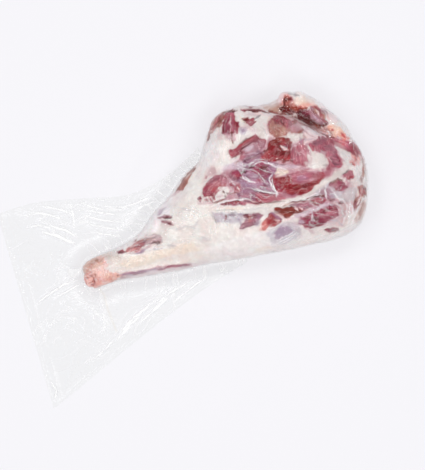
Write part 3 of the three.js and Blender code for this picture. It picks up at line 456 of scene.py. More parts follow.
# Streaks of the upper face, painted over the areas: tone, width, soft edge, cover and line
STREAKS = [
    # Shank
    ("brown red", 2.2, 1.5, 0.8, [(-3, -7), (1, -8), (6, -10)]),
    ("dark brown", 2.2, 1.6, 0.6, [(0, -9), (1, -11)]),
    ("brown red", 1.8, 1.3, 0.85, [(0, -18), (4, -16), (8, -13)]),
    ("bright red", 1.8, 1.4, 0.7, [(1, -21), (8, -19)]),
    ("brown fat", 2.4, 1.6, 0.8, [(11, -13), (13, -10)]),
    ("salmon", 2.6, 1.8, 0.8, [(15, -15), (18, -15)]),
    ("salmon", 1.6, 1.4, 0.8, [(1, -3), (6, -4), (13, -5), (20, -4)]),
    ("blush fat", 3, 2, 0.6, [(3, -5), (9, -7)]),
    ("blush fat", 2, 1.4, 0.8, [(8, -16), (12, -17)]),
    ("brown fat", 2.4, 1.6, 0.8, [(21, 6), (25, 5), (30, 1)]),
    ("salmon", 1.8, 1.4, 0.8, [(20, -22), (28, -24)]),
    ("dark brown", 2.4, 1.6, 0.7, [(37, -25), (39, -26)]),
    ("magenta", 6, 2.4, 0.97, [(54, 4), (58, 2), (62, 0)]),
    ("dark red", 3.4, 2, 0.8, [(55, 3.5), (59, 1.5)]),
    ("dark brown", 3, 2, 0.7, [(61, 1), (65, 0)]),
    ("magenta", 3, 2, 0.7, [(81, 1), (87, -2)]),
    ("brown fat", 2, 1.5, 0.8, [(88, 5), (95, 2), (101, -2)]),
    ("blush fat", 2, 1.5, 0.8, [(94, 6), (100, 2), (108, 0)]),
    ("pink fat", 1.6, 1.2, 0.6, [(66, 5), (76, 2), (88, -2)]),
    ("pink fat", 1.6, 1.2, 0.5, [(70, -3), (80, -6), (92, -8)]),
    ("dark red", 1.6, 1.2, 0.5, [(72, 1), (80, -1), (90, -4)]),
    ("dark grey", 3, 2, 0.6, [(101, -2), (108, -4)]),
    ("magenta", 2.4, 1.6, 0.9, [(95, -3), (104, -6), (113, -8)]),
    ("blush fat", 1.6, 1.3, 0.8, [(98, -4), (105, -5.5)]),
    ("mauve rose", 2.4, 2, 0.7, [(62, -3), (72, -8), (82, -11)]),
    # Painted highlight along a film fold over the shank, with its painted shade beside it
    ("white", 1.8, 1.3, 0.9, [(86, -12), (100, -16), (115, -22)]),
    ("grey fat", 1.8, 1.3, 0.9, [(91, -15), (103, -18), (112, -20)]),
    ("wine", 3, 1.8, 0.85, [(97, -6), (104, -9), (113, -12)]),
    ("rose", 4, 3, 0.6, [(71, -7), (83, -9), (97, -10)]),
    ("lilac", 3, 2, 0.7, [(70, -8), (80, -11), (90, -11)]),
    ("pink fat", 2, 1.4, 0.7, [(96, -3), (104, -5), (112, -6)]),
    ("lilac", 4, 3, 0.7, [(46, -28), (64, -34), (84, -40), (100, -45)]),
    ("mauve rose", 3, 2.4, 0.6, [(54, -30), (66, -36), (73, -38)]),
    ("mauve rose", 3.6, 2.6, 0.85, [(90, -42), (102, -46), (116, -50), (134, -58)]),
    ("magenta", 3, 2.4, 0.5, [(100, -45), (112, -48), (122, -52)]),
    ("pink fat", 3.4, 2, 0.7, [(44, -33), (62, -40), (84, -47), (104, -55)]),
    ("grey fat", 2, 1.6, 0.7, [(66, -44), (84, -48), (100, -53)]),
    ("pink fat", 9, 5, 0.5, [(124, 16), (128, 6), (136, 8)]),
    ("mauve rose", 6, 2.4, 0.85, [(122, 19), (130, 17), (139, 13)]),
    ("wine", 3.4, 1.8, 0.8, [(128, 17), (138, 12.5)]),
    ("magenta", 6.5, 2.4, 0.8, [(124, 13), (131, 9), (137, 3)]),
    ("wine", 3.4, 2, 0.7, [(130, 9), (135, 6)]),
    ("lilac", 4, 3, 0.8, [(125, 23), (130, 26), (138, 27)]),
    ("grey fat", 5, 4, 0.6, [(117, -21), (126, -24)]),
    ("grey fat", 4, 3, 0.55, [(138, -5), (148, -6), (160, -13), (170, -8)]),
    ("grey fat", 7, 5, 0.5, [(160, -33), (170, -37)]),
    ("grey fat", 2.6, 2, 0.7, [(156, 16), (163, 13), (167, 8)]),
    ("rose", 3, 2, 0.6, [(138, 34), (152, 37), (168, 40)]),
    # Heel and calf
    ("magenta", 4, 2, 0.85, [(183, 17), (187, 16)]),
    ("dark grey", 2.2, 1.4, 0.8, [(190, 10), (192, 10)]),
    ("deep red", 4, 2.5, 0.7, [(193, 18), (197, 14)]),
    ("magenta", 4, 3, 0.5, [(206, 30), (216, 31), (224, 25)]),
    ("magenta", 3, 2, 0.6, [(203, 38), (208, 40)]),
    ("mauve rose", 3, 2, 0.7, [(202, 32), (212, 33), (221, 33)]),
    ("magenta", 3, 2, 0.7, [(195, 23), (196, 17)]),
    ("magenta", 2.4, 2, 0.7, [(206, 28), (208, 26)]),
    ("pink", 2, 1.4, 0.9, [(195, 11), (198, 5)]),
    ("rose red", 2, 1.4, 0.8, [(199, 11), (203, 6)]),
    ("dark brown", 1.8, 1.3, 0.75, [(197, 5), (204, 2), (216, 3)]),
    ("wine", 3, 2, 0.7, [(251, 24), (255, 21)]),
    ("magenta", 3, 2, 0.5, [(258, 20), (262, 16), (268, 19)]),
    ("wine", 3.4, 2.4, 0.75, [(274, 18), (281, 16)]),
    ("wine", 2.4, 2, 0.4, [(262, 26), (268, 23)]),
    ("lilac", 4, 3, 0.5, [(240, 12), (250, 4), (260, -5)]),
    ("grey lilac", 4, 3, 0.5, [(262, 11), (270, 10)]),
    ("magenta", 3, 2, 0.5, [(266, -6), (272, -10), (274, -14)]),
    # Upper left of the butt
    ("dark brown", 2.6, 2, 0.6, [(229, 84), (235, 90), (241, 94)]),
    ("bright red", 3, 3, 0.3, [(250, 98), (262, 105)]),
    ("dark brown", 4, 2.2, 0.9, [(261, 105), (268, 106.5), (276, 105), (283, 101)]),
    ("red", 4, 3, 0.5, [(273, 90), (274, 79)]),
    ("rose", 2.4, 1.8, 0.8, [(264, 85), (267, 92)]),
    ("pink fat", 5, 3, 0.6, [(252, 70), (254, 78)]),
    ("dark brown", 2.8, 1.4, 0.97, [(257.5, 64), (259.5, 71), (263.5, 79)]),
    ("blush fat", 1.8, 1.3, 0.9, [(264, 67), (268, 78)]),
    ("blush fat", 1.6, 1.3, 0.3, [(256, 82), (260, 90), (266, 98)]),
    ("blush fat", 1.8, 1.4, 0.7, [(263, 80), (267, 90), (272, 99)]),
    ("pink", 1.8, 1.4, 0.8, [(240, 92), (250, 99), (261, 103)]),
    ("red", 2.4, 1.8, 0.7, [(244, 98), (254, 104), (264, 106)]),
    ("wine", 2.4, 1.8, 0.7, [(254, 82), (258, 90), (262, 94)]),
    ("dark grey", 2.6, 2, 0.5, [(276, 72), (278, 74)]),
    ("cream", 3, 2, 0.9, [(282, 94), (282, 87), (286, 81)]),
    ("dark brown", 2.4, 1.6, 0.8, [(283, 88), (288, 87), (293, 84)]),
    ("grey fat", 3, 2, 0.6, [(286, 67), (292, 66)]),
    ("wine", 3.4, 2, 0.7, [(272, 105), (277, 103), (281, 101)]),
    ("pink", 3, 2, 0.8, [(269, 103), (274, 101), (278, 98)]),
    ("dark grey", 2.4, 1.5, 0.85, [(297, 77), (303, 79), (308, 81)]),
    # The flap's fat browner along the butt's upper edge: partly its own tone, partly painted shade under the
    # edge
    ("brown fat", 7, 5, 0.6, [(290, 103), (302, 98), (314, 92), (326, 86)]),
    ("rose red", 5.5, 2.2, 0.97, [(288, 99), (296, 95), (303, 91), (310, 87), (317, 82)]),
    ("rust", 4, 2.2, 0.9, [(317, 82), (326, 77), (337, 71)]),
    # Silverside
    ("bright red", 2.8, 2, 0.5, [(262, 57), (272, 58), (281, 58)]),
    ("wine", 1.8, 1.4, 0.7, [(263, 51), (272, 52), (281, 53)]),
    ("wine", 2.2, 1.6, 0.6, [(262, 48), (263, 45)]),
    ("mauve", 4, 3, 0.7, [(264, 33), (274, 31), (284, 33)]),
    ("magenta", 3, 2, 0.8, [(262, 49), (263, 46)]),
    ("brown fat", 2.2, 1.6, 0.7, [(249, 38), (254, 38)]),
    ("grey fat", 1.6, 1.4, 0.8, [(247, 44), (256, 43)]),
    ("wine", 2.4, 2, 0.6, [(259, 37), (262, 32)]),
    ("dark red", 2, 1.4, 0.8, [(288, 33), (297, 36), (305, 38)]),
    ("dark brown", 2.8, 2, 0.6, [(300, 41), (312, 42), (322, 39), (328, 31)]),
    ("dark brown", 2, 1.5, 0.7, [(290, 34), (297, 36), (306, 38)]),
    ("dark red", 4, 3, 0.7, [(312, 39), (311, 31), (314, 23)]),
    ("blush fat", 3, 1.6, 0.9, [(313.5, 32), (316, 27), (319, 22)]),
    ("magenta", 5, 3, 0.8, [(319, 30), (322, 26)]),
    ("dark red", 2.4, 1.6, 0.7, [(302, 24), (305, 22)]),
    ("dark red", 2.4, 2, 0.5, [(303, 19), (311, 20), (320, 18)]),
    ("dark red", 2.2, 1.6, 0.8, [(298, 19), (307, 14), (318, 6)]),
    ("bright red", 4, 3, 0.6, [(305, 16), (313, 13), (318, 15)]),
    ("magenta", 4, 2.5, 0.7, [(319, 32), (321, 26)]),
    ("lilac", 4, 3, 0.6, [(341, 29), (342, 22)]),
    ("rose red", 5, 4, 0.5, [(319, 4), (326, -2), (333, -8)]),
    ("pale lilac", 5, 3, 0.7, [(298, 9), (306, 4), (314, 0), (324, -7)]),
    ("pale lilac", 4, 3, 0.7, [(268, 47), (280, 48)]),
    ("mauve", 5, 4, 0.8, [(267, 37), (276, 36), (285, 35)]),
    ("wine", 3, 2.4, 0.5, [(263, 36), (274, 34), (286, 33)]),
    ("mauve rose", 3, 2.4, 0.6, [(264, 39), (275, 39), (284, 37)]),
    ("dark grey", 2, 1.6, 0.5, [(296, 13), (306, 8), (311, 3)]),
    # Rump
    ("blush fat", 3, 2, 0.8, [(309, 70), (307, 60), (308, 48), (311, 44)]),
    ("orange fat", 2.4, 2, 0.6, [(313, 68), (316, 71), (322, 73)]),
    ("rose", 5, 4, 0.5, [(290, 89), (297, 87), (305, 82)]),
    ("pink fat", 2.6, 1.8, 0.9, [(333, 69), (342, 61), (349.5, 52), (356, 43), (362.5, 33), (369.5, 21)]),
    ("dark brown", 1.6, 1.2, 0.6, [(355, 43), (362, 34), (368, 25), (375, 14)]),
    ("pink", 2.4, 1.8, 0.7, [(353, 5), (362, 8), (371, 5), (380, 10)]),
    ("dark brown", 2, 1.6, 0.4, [(376, -18), (377, -26)]),
    ("dark grey", 2.4, 2, 0.5, [(352, -18), (357, -21)]),
    ("magenta", 4, 3, 0.5, [(381, 4), (388, 2)]),
    ("pink fat", 1.6, 1.2, 0.8, [(361, -8), (362, -14), (360, -19)]),
    ("pink fat", 1.6, 1.2, 0.7, [(364, -11), (366, -20)]),
    ("pink fat", 2, 1.4, 0.7, [(354, 9), (352, -2)]),
    ("magenta", 3, 2, 0.6, [(376, -10), (377, -18), (377, -27)]),
    ("salmon red", 3, 2, 0.7, [(352, 12), (356, 10)]),
    ("grey lilac", 3, 2, 0.6, [(360, 30), (363, 25), (366, 19)]),
    ("brown fat", 3.4, 2.4, 0.5, [(347, 29), (349, 24)]),
    ("blush fat", 1.6, 1.4, 0.6, [(392, -35), (396, -35)]),
    ("bright red", 2.2, 1.6, 0.7, [(389, -32), (391, -38), (396, -31)]),
    ("bright red", 2.4, 1.6, 0.8, [(399, -10), (402, -18)]),
    ("bright red", 2, 1.5, 0.8, [(386, -33), (390, -37)]),
    # Topside
    ("deep red", 10, 8, 0.35, [(293, -14), (300, -22), (308, -32), (318, -35)]),
    ("dark red", 4, 3, 0.5, [(318, -33), (328, -36), (336, -34)]),
    ("rust", 4, 3, 0.6, [(306, -26), (312, -30)]),
    ("pink fat", 2, 1.4, 0.4, [(302, -36), (312, -33), (320, -36)]),
    ("mauve", 2, 1.6, 0.5, [(294, -33), (302, -37)]),
    # The fat seam across the leg
    ("fat", 6.5, 2.5, 0.97,
     [(188, -3), (204, -9), (218, -16), (232, -23), (246, -30), (260, -36), (274, -40)]),
    ("seam fat", 5, 2, 0.95, [(248, -25), (265, -33), (285, -37), (307, -44), (321, -44)]),
    ("seam fat", 7.5, 2.5, 0.95, [(321, -44), (337, -41), (347, -39), (360, -39), (376, -37), (387, -34)]),
    ("cream", 3, 2.4, 0.8, [(210, -11), (222, -17), (230, -21)]),
    ("grey fat", 3, 3, 0.5, [(232, -23), (250, -31), (264, -37)]),
    # Near side
    ("dark grey", 3, 2, 0.7, [(203, -18), (206, -18)]),
    ("dark grey", 2.4, 2, 0.6, [(201, -23), (203, -26)]),
    ("mauve", 3, 2.4, 0.5, [(192, -9), (200, -16), (204, -26)]),
    ("lilac", 3, 2.4, 0.7, [(208, -20), (217, -24)]),
    ("dark grey", 2.4, 2, 0.5, [(200, -24), (202, -23)]),
    ("dark grey", 4, 3, 0.5, [(208, -19), (218, -24)]),
    ("lilac", 3, 2, 0.6, [(222, -24), (228, -28)]),
    ("lilac", 3, 2, 0.5, [(218, -30), (219, -36), (217, -42)]),
    ("grey lilac", 2.4, 2, 0.7, [(190, -6), (190, -14), (192, -22)]),
    ("dark brown", 3.6, 3, 0.5, [(228, -32), (238, -36)]),
    ("pink", 5, 4, 0.5, [(230, -43), (236, -41)]),
    ("mauve", 4, 2.5, 0.7, [(241, -38), (244, -41), (240, -44)]),
    ("grey lilac", 4, 3, 0.6, [(236, -50), (243, -46)]),
    ("deep red", 5, 3, 0.7, [(252, -54), (259, -56)]),
    ("mauve", 5, 2.6, 0.85, [(260, -45), (265, -50), (269, -57)]),
    ("blush fat", 1.6, 1.2, 0.6, [(259, -53), (266, -58)]),
    ("blush fat", 3, 2, 0.85, [(262, -41), (268, -48), (272, -55), (278, -62), (292, -64)]),
    ("dark", 2.8, 1.6, 0.7, [(286, -50), (290, -51)]),
    ("dark", 2.8, 1.8, 0.6, [(276, -58), (279, -56)]),
    ("dark red", 2, 1.6, 0.7, [(265, -45), (270, -50)]),
    ("blush fat", 2.4, 1.4, 0.85, [(292, -54), (294, -56)]),
    ("blush fat", 2.4, 1.4, 0.85, [(299, -56), (301, -58)]),
    ("dark brown", 2, 1.4, 0.8, [(293, -60), (303, -61)]),
    ("dark brown", 1.8, 1.4, 0.7, [(296, -46), (305, -47), (316, -50)]),
    ("pink fat", 1.8, 1.4, 0.8, [(298, -48), (312, -52), (318, -51)]),
    ("dark grey", 1.8, 1.4, 0.8, [(321, -50), (329, -51), (336, -56)]),
    ("grey fat", 2.6, 2, 0.8, [(329, -46), (342, -46)]),
    ("dark brown", 2, 1.4, 0.7, [(316, -54), (317, -59)]),
    ("dark grey", 1.8, 1.4, 0.6, [(337, -59), (346, -66)]),
    ("dark grey", 1.8, 1.4, 0.5, [(346, -48), (350, -55)]),
    ("mauve rose", 4, 2.5, 0.7, [(347, -70), (354, -77)]),
    ("dark brown", 2, 1.4, 0.6, [(350, -44), (358, -42), (365, -45)]),
    ("dark brown", 3, 2, 0.5, [(352, -52), (356, -57)]),
    ("red", 3, 2, 0.8, [(375, -50), (382, -51)]),
    ("dark grey", 2.6, 2, 0.6, [(375, -42), (381, -39)]),
    ("wine", 4, 3, 0.6, [(298, -70), (304, -73)]),
    ("wine", 5, 4, 0.6, [(309, -76), (314, -80)]),
    ("wine", 4, 3, 0.5, [(321, -75), (330, -76)]),
    ("dark brown", 3, 2.4, 0.5, [(338, -74), (342, -79)]),
    ("dark brown", 3, 2.4, 0.5, [(304, -85), (312, -88)]),
    ("pale lilac", 5, 3, 0.8, [(290, -69), (294, -75)]),
    ("rose", 4, 3, 0.6, [(292, -80), (297, -88), (301, -93)]),
    # Painted highlight: a pale lilac line where a film fold glints
    ("pale lilac", 3, 2, 0.7, [(313, -61), (310, -70), (306, -79)]),
    ("bright red", 3, 2, 0.7, [(380, -70), (382, -78)]),
    ("dark brown", 2.6, 2, 0.7, [(370, -80), (366, -86), (363, -92)]),
    ("dark brown", 2.6, 2, 0.6, [(385, -69), (389, -74)]),
    ("blush fat", 2, 1.6, 0.7, [(374, -76), (378, -70)]),
    ("salmon", 2.2, 1.6, 0.8, [(373, -81), (379, -74), (382, -67)]),
    ("orange fat", 2, 1.6, 0.8, [(369, -86), (376, -82), (384, -80)]),
    ("mauve rose", 3, 2.2, 0.7, [(362, -92), (366, -86), (371, -82)]),
    ("white", 1.8, 1.4, 0.8, [(366, -92), (374, -87), (382, -84)]),
    ("brown fat", 4.5, 3, 0.7, [(361, -100), (358, -108)]),
    ("brown fat", 4, 3, 0.6, [(370, -100), (364, -108)]),
    ("wine", 2.8, 2, 0.6, [(324, -104), (327, -105)]),
    ("orange fat", 6, 5, 0.4, [(276, -96), (290, -102), (300, -103)]),
    ("cream", 6, 5, 0.8, [(218, -80), (230, -82), (240, -86)]),
    *painted_crease_glints_and_shade(),
    # Flap behind the butt, with painted shade along the crevice where the butt's rim drops to it and beside
    # the film's folds at its edge
    ("dark", 6, 2.5, 0.95, [(337, 71), (342, 74), (345, 68), (348, 63)]),
    ("dark", 5, 2.5, 0.9, [(352, 57), (357, 50), (362, 44), (367, 37), (372, 32)]),
    ("dark red", 3, 2, 0.8, [(343, 78), (346, 83), (351, 86)]),
    ("rust", 7, 4, 0.8, [(347, 76), (351, 70), (355, 66)]),
    ("rust", 3, 2, 0.8, [(352, 83), (356, 81)]),
    ("dark red", 6, 3, 0.9, [(368, 36), (374, 31), (384, 29)]),
    ("dark", 4.4, 2.4, 0.85, [(352, 58), (358, 50), (364, 42), (371, 33), (379, 30)]),
    ("lilac", 2.4, 1.8, 0.6, [(372, 48), (374, 43), (376, 38)]),
    ("wine", 3, 2, 0.7, [(362, 52), (366, 45), (371, 39)]),
    ("magenta", 3, 2, 0.6, [(367, 57), (370, 50)]),
    ("pale lilac", 1.8, 1.4, 0.6, [(373, 46), (375, 40)]),
    ("blush fat", 2.4, 1.5, 0.9, [(379, 55), (379.5, 49), (379, 44)]),
    ("brown fat", 3, 2, 0.7, [(384, 47), (385, 38)]),
    ("wine", 4, 2.4, 0.85, [(351, 60), (354, 54), (358, 48)]),
    ("dark brown", 2, 1.4, 0.85, [(357, 45), (361, 39), (366, 31), (371, 23), (375, 17), (378, 14)]),
    ("blush fat", 1.6, 1.3, 0.8, [(358, 44), (364, 34), (370, 24)]),
    ("dark red", 2.6, 1.8, 0.7, [(349, 83), (354, 81)]),
    ("salmon", 6, 4, 0.8, [(360, 68), (369, 66), (377, 62), (382, 56)]),
    ("dark grey", 2.6, 2, 0.7, [(355, 89), (360, 87)]),
    ("dark grey", 2.6, 2, 0.6, [(361, 84), (367, 81)]),
    ("rose red", 3.6, 2.5, 0.7, [(374, 60), (382, 54), (382, 44), (380, 36), (386, 30)]),
    ("dark brown", 2, 1.5, 0.7, [(372, 55), (377, 49)]),
    ("salmon", 3, 2, 0.8, [(386, 19), (388, 16)]),
    ("bright red", 3.4, 1.8, 0.8, [(393, 9), (396, 3)]),
    ("blush fat", 2.6, 1.8, 0.8, [(388, 11), (391, 14)]),
    ("blush fat", 2.4, 1.6, 0.7, [(396, 0), (397, -4)]),
    ("dark brown", 3, 2.2, 0.6, [(378, 12), (383, 9)]),
    # Sinew lines that cross the muscles, and painted highlights where the film's folds glint, with painted
    # shade beside them
    ("white", 2.4, 1.6, 0.95, [(286, 2), (281, -2), (280, -12), (279, -24), (276, -26)]),
    ("white", 2.4, 1.6, 0.95, [(250, 18), (252, 12), (255, 7), (259, 3)]),
    ("white", 2.2, 1.6, 0.85, [(256, -4), (261, -7), (264, -12), (268, -16), (274, -20), (279, -23)]),
    ("dark grey", 1.8, 1.4, 0.7, [(254, -6), (260, -11), (266, -17), (274, -22)]),
    ("dark grey", 1.8, 1.4, 0.6, [(254, 15), (258, 9)]),
    ("white", 2, 1.6, 0.75, [(264, 24), (272, 26), (282, 24), (290, 16), (297, 7), (308, -1)]),
    ("white", 2.6, 1.6, 0.9, [(198, 0), (206, 0), (215, -1), (223, -4), (232, -9), (241, -15)]),
    ("dark brown", 1.8, 1.3, 0.85, [(194, 7), (199, 3), (206, 2), (215, 3)]),
    ("dark brown", 2.2, 1.4, 0.85, [(215, 12.5), (216, 9)]),
    ("pink", 3, 2, 0.8, [(196, 12), (198, 6)]),
    ("pink", 2.4, 2, 0.7, [(202, 12), (201, 5)]),
    ("magenta", 4, 3, 0.8, [(236, 29), (243, 27), (250, 23)]),
    ("mauve rose", 6, 4, 0.6, [(233, 30), (235, 24), (238, 17)]),
    ("wine", 3, 2, 0.8, [(250, 23), (256, 21)]),
    ("wine", 2.6, 2, 0.8, [(262, 21), (266, 24), (270, 25)]),
    ("wine", 3, 2, 0.7, [(264, 19), (265, 16)]),
    ("pink fat", 2, 1.4, 0.8, [(241, -14), (245, -18), (250, -22)]),
    ("red", 3, 2, 0.8, [(211, -3), (218, -5), (231, -12)]),
    ("dark red", 2, 1.4, 0.7, [(240, -18), (252, -24), (266, -31), (284, -37)]),
    ("dark brown", 1.6, 1.2, 0.85, [(205, -2), (214, -3), (217, -4)]),
    ("dark brown", 1.8, 1.2, 0.85, [(222, -6), (228, -8), (231, -11)]),
    ("dark brown", 2, 1.4, 0.8, [(201, 17), (203, 11), (199, 7)]),
    ("wine", 6.5, 2.2, 0.95, [(184, 17.5), (187, 15)]),
    ("rose", 5, 4, 0.5, [(180, 14), (188, 9), (196, 4)]),
    ("rose red", 3, 2, 0.8, [(190, 12), (193, 9)]),
    ("rose", 4, 3, 0.55, [(206, 9), (213, 7)]),
    ("magenta", 6, 2, 0.7, [(184, 17), (187, 15)]),
    ("dark brown", 2.6, 1.4, 0.95, [(219, 10), (221, 6), (226, 3), (235, 1)]),
    ("wine", 3, 1.6, 0.9, [(215, 6.5), (215.5, 5)]),
    ("blush fat", 2, 1.4, 0.8, [(236, 9), (238, 3)]),
    ("wine", 4, 2.5, 0.8, [(273, 17), (279, 16), (285, 15)]),
    ("magenta", 5, 4, 0.7, [(264, 3), (275, 3), (285, 5)]),
    ("red", 5, 4, 0.6, [(242, 23), (247, 21)]),
    ("dark grey", 2, 1.5, 0.6, [(258, 33), (258, 25), (262, 20)]),
    ("white", 1.8, 1.4, 0.7, [(255, 29), (262, 28), (271, 28)]),
    ("dark grey", 1.6, 1.4, 0.6, [(196, -6), (208, -12), (219, -18)]),
    ("dark brown", 2.4, 1.6, 0.7, [(204, -16), (204, -20), (200, -23)]),
    ("dark grey", 1.8, 1.4, 0.7, [(188, -9), (189, -16), (189, -23)]),
    ("brown pink", 4, 2.5, 0.7, [(235, -33), (228, -43)]),
    ("white", 2, 1.4, 0.85, [(344, -44), (340, -53), (337, -61)]),
    ("pale lilac", 1.6, 1.3, 0.4, [(319, -50), (314, -62), (309, -75), (304, -85)]),
    ("white", 2, 1.5, 0.7, [(347, -47), (350, -60), (353, -71), (359, -86)]),
    ("grey fat", 2, 1.5, 0.7, [(351, -51), (355, -63), (358, -74)]),
    ("white", 2.2, 1.6, 0.8, [(364, -76), (362, -85), (352, -101), (345, -105)]),
    ("white", 2, 1.6, 0.8, [(368, -92), (358, -100), (350, -107)]),
    ("pale lilac", 6, 4, 0.75, [(281, -64), (306, -64), (331, -67), (341, -71)]),
    ("mauve rose", 6, 5, 0.45, [(306, -49), (316, -51), (325, -50)]),
    ("mauve", 8, 6, 0.35, [(279, -71), (288, -72), (294, -71)]),
    ("brown pink", 7, 6, 0.35, [(342, -96), (351, -87), (357, -78)]),
    ("pink fat", 2, 1.5, 0.7, [(312, -4), (330, -14), (355, -25)]),
    ("fat", 5, 3, 0.8, [(341, 4), (340, -3)]),
    ("fat", 6, 4, 0.5, [(333, -3), (341, -9)]),
    ("rose", 7, 6, 0.4, [(330, -18), (338, -21)]),
    ("rose", 4, 3, 0.5, [(284, -28), (293, -26)]),
    ("dark brown", 2, 1.4, 0.8, [(319, -50), (331, -53), (336, -57)]),
    ("dark brown", 2.2, 1.5, 0.8, [(351, -45), (360, -44), (368, -48)]),
    ("mauve rose", 8, 5, 0.45, [(343, -49), (351, -50), (357, -53)]),
    ("dark grey", 2, 1.5, 0.7, [(372, -42), (383, -40)]),
    ("dark brown", 2, 1.4, 0.9, [(288, -43), (300, -46), (318, -51)]),
    ("white", 1.6, 1.2, 0.8, [(285, -40), (300, -44), (314, -47), (330, -48)]),
    ("brown fat", 3, 2.4, 0.7, [(279, -43), (285, -42), (291, -43)]),
    ("dark brown", 2.6, 1.5, 0.9, [(320, -50), (330, -52), (337, -57)]),
    ("dark brown", 3, 2, 0.8, [(317, -54), (317, -60)]),
    ("dark brown", 3, 2, 0.7, [(348, -72), (353, -77)]),
    ("grey fat", 1.8, 1.4, 0.8, [(345, -68), (349, -79), (347, -93)]),
    ("white", 1.6, 1.3, 0.7, [(340, -101), (351, -92), (357, -80)]),
    ("grey lilac", 1.8, 1.4, 0.7, [(326, -88), (336, -94), (342, -102)]),
    ("magenta", 8, 3, 0.9, [(316, -99), (322, -101), (330, -105)]),
    ("wine", 4, 2.4, 0.8, [(323, -102), (329, -105)]),
    ("dark brown", 2, 1.4, 0.7, [(336, -62), (345, -67)]),
    ("wine", 4, 3, 0.6, [(297, -72), (302, -72)]),
    ("wine", 4, 3, 0.6, [(322, -73), (330, -74), (338, -78)]),
    ("blush fat", 2.6, 1.6, 0.85, [(294, -52), (293, -58)]),
    ("brown fat", 5, 3, 0.9, [(402, -33), (401, -43), (395, -52), (389, -58)]),
    ("brown pink", 5, 4, 0.55, [(405, -14), (408, -28), (405, -42), (398, -56)]),
    ("rose red", 11, 3, 0.9, [(399, -14), (400, -20), (400, -27)]),
    ("salmon", 8, 3, 0.85, [(395, -25), (396, -31), (394, -36)]),
    ("salmon red", 2.6, 1.8, 0.6, [(400, -28), (396, -32), (391, -33)]),
    ("brown red", 4, 2.4, 0.75, [(404, -34), (402, -43), (394, -54), (389, -63)]),
    ("brown pink", 9, 5, 0.65, [(379, -86), (375, -94), (367, -101)]),
    ("brown red", 3.4, 2.6, 0.6, [(368, -101), (363, -105)]),
    ("blush fat", 2, 1.5, 0.8, [(386, -69), (378, -80), (369, -86)]),
    ("dark brown", 2, 1.5, 0.6, [(389, -72), (384, -80)]),
    ("deep red", 3, 2, 0.85, [(382, -68), (381, -76)]),
    ("peach", 1.8, 1.3, 0.8, [(378, -69), (376, -77)]),
    ("salmon red", 5, 3, 0.6, [(386, -69), (385, -76), (376, -79)]),
    ("brown fat", 3, 2, 0.6, [(357, -110), (365, -107), (371, -103)]),
    ("dark brown", 2, 1.4, 0.8, [(284, 89), (287, 85), (292, 82.5)]),
    ("blush fat", 2.6, 1.8, 0.9, [(291, 93), (299, 88.5), (307, 84), (314, 79), (322, 74), (332, 69)]),
    # Painted shade: a dark line where the butt's upper edge overhangs the flap
    ("dark red", 3.2, 1.8, 0.85, [(292, 97), (300, 92.5), (308, 88), (316, 83)]),
    ("rust", 2.8, 1.8, 0.55, [(304, 90), (312, 85), (320, 80)]),
    ("dark brown", 2, 1.5, 0.6, [(235, 91), (245, 96), (256, 99)]),
    ("pink", 7, 5, 0.45, [(261, 91), (265, 85), (271, 89)]),
    ("wine", 2, 1.5, 0.7, [(300, 36), (311, 38), (319, 36)]),
    ("rust", 4, 3, 0.6, [(302, 39), (312, 41), (322, 38)]),
    ("deep red", 6, 4, 0.5, [(290, 29), (300, 33), (314, 36)]),
    ("dark red", 3, 2.4, 0.6, [(300, 27), (308, 25), (314, 20)]),
    ("deep red", 5, 3, 0.5, [(322, 34), (325, 28)]),
    ("pale lilac", 3, 2, 0.6, [(264, 43), (276, 40), (284, 36)]),
    ("dark red", 2, 1.5, 0.6, [(266, 59), (277, 61), (286, 60)]),
    ("grey fat", 2, 1.6, 0.7, [(301, 67), (305, 60), (305, 52)]),
    ("rose", 12, 8, 0.35, [(281, 78), (288, 72), (293, 64)]),
    ("brown pink", 6, 4, 0.7, [(318, 61), (322, 49)]),
    ("pink", 2, 1.5, 0.8, [(310, 62), (316, 67)]),
    ("dark red", 2, 1.6, 0.5, [(331, 68), (330, 58), (332, 51)]),
    ("blush fat", 1.8, 1.4, 0.6, [(334, 67), (340, 60), (345, 54)]),
    ("mauve rose", 1.6, 1.3, 0.6, [(353, 46), (360, 36), (366, 24)]),
    ("mauve rose", 1.6, 1.3, 0.6, [(347, 40), (354, 30), (360, 20)]),
    ("brown red", 8, 4, 0.6, [(361, 37), (370, 30), (377, 23), (383, 15)]),
    ("white", 1.6, 1.3, 0.6, [(350, 42), (357, 33), (363, 22)]),
    ("lilac", 2, 1.6, 0.5, [(343, 25), (350, 21), (358, 19)]),
    ("dark brown", 2, 1.5, 0.7, [(379, 60), (381, 52), (382, 47)]),
    ("mauve rose", 3, 2, 0.7, [(386, 52), (389, 44), (389, 36)]),
    ("salmon", 3, 2.4, 0.6, [(388, 40), (390, 32)]),
    ("dark grey", 3, 2, 0.7, [(359, 93), (360, 87), (364, 82)]),
    ("orange fat", 6, 4, 0.4, [(363, 70), (372, 65)]),
    ("bright red", 2.6, 1.8, 0.8, [(385, 19), (387, 16)]),
    ("white", 2, 1.5, 0.7, [(378, 22), (380, 16), (377, 11)]),
    ("grey fat", 2, 1.5, 0.6, [(360, 32), (364, 24), (367, 15)]),
]

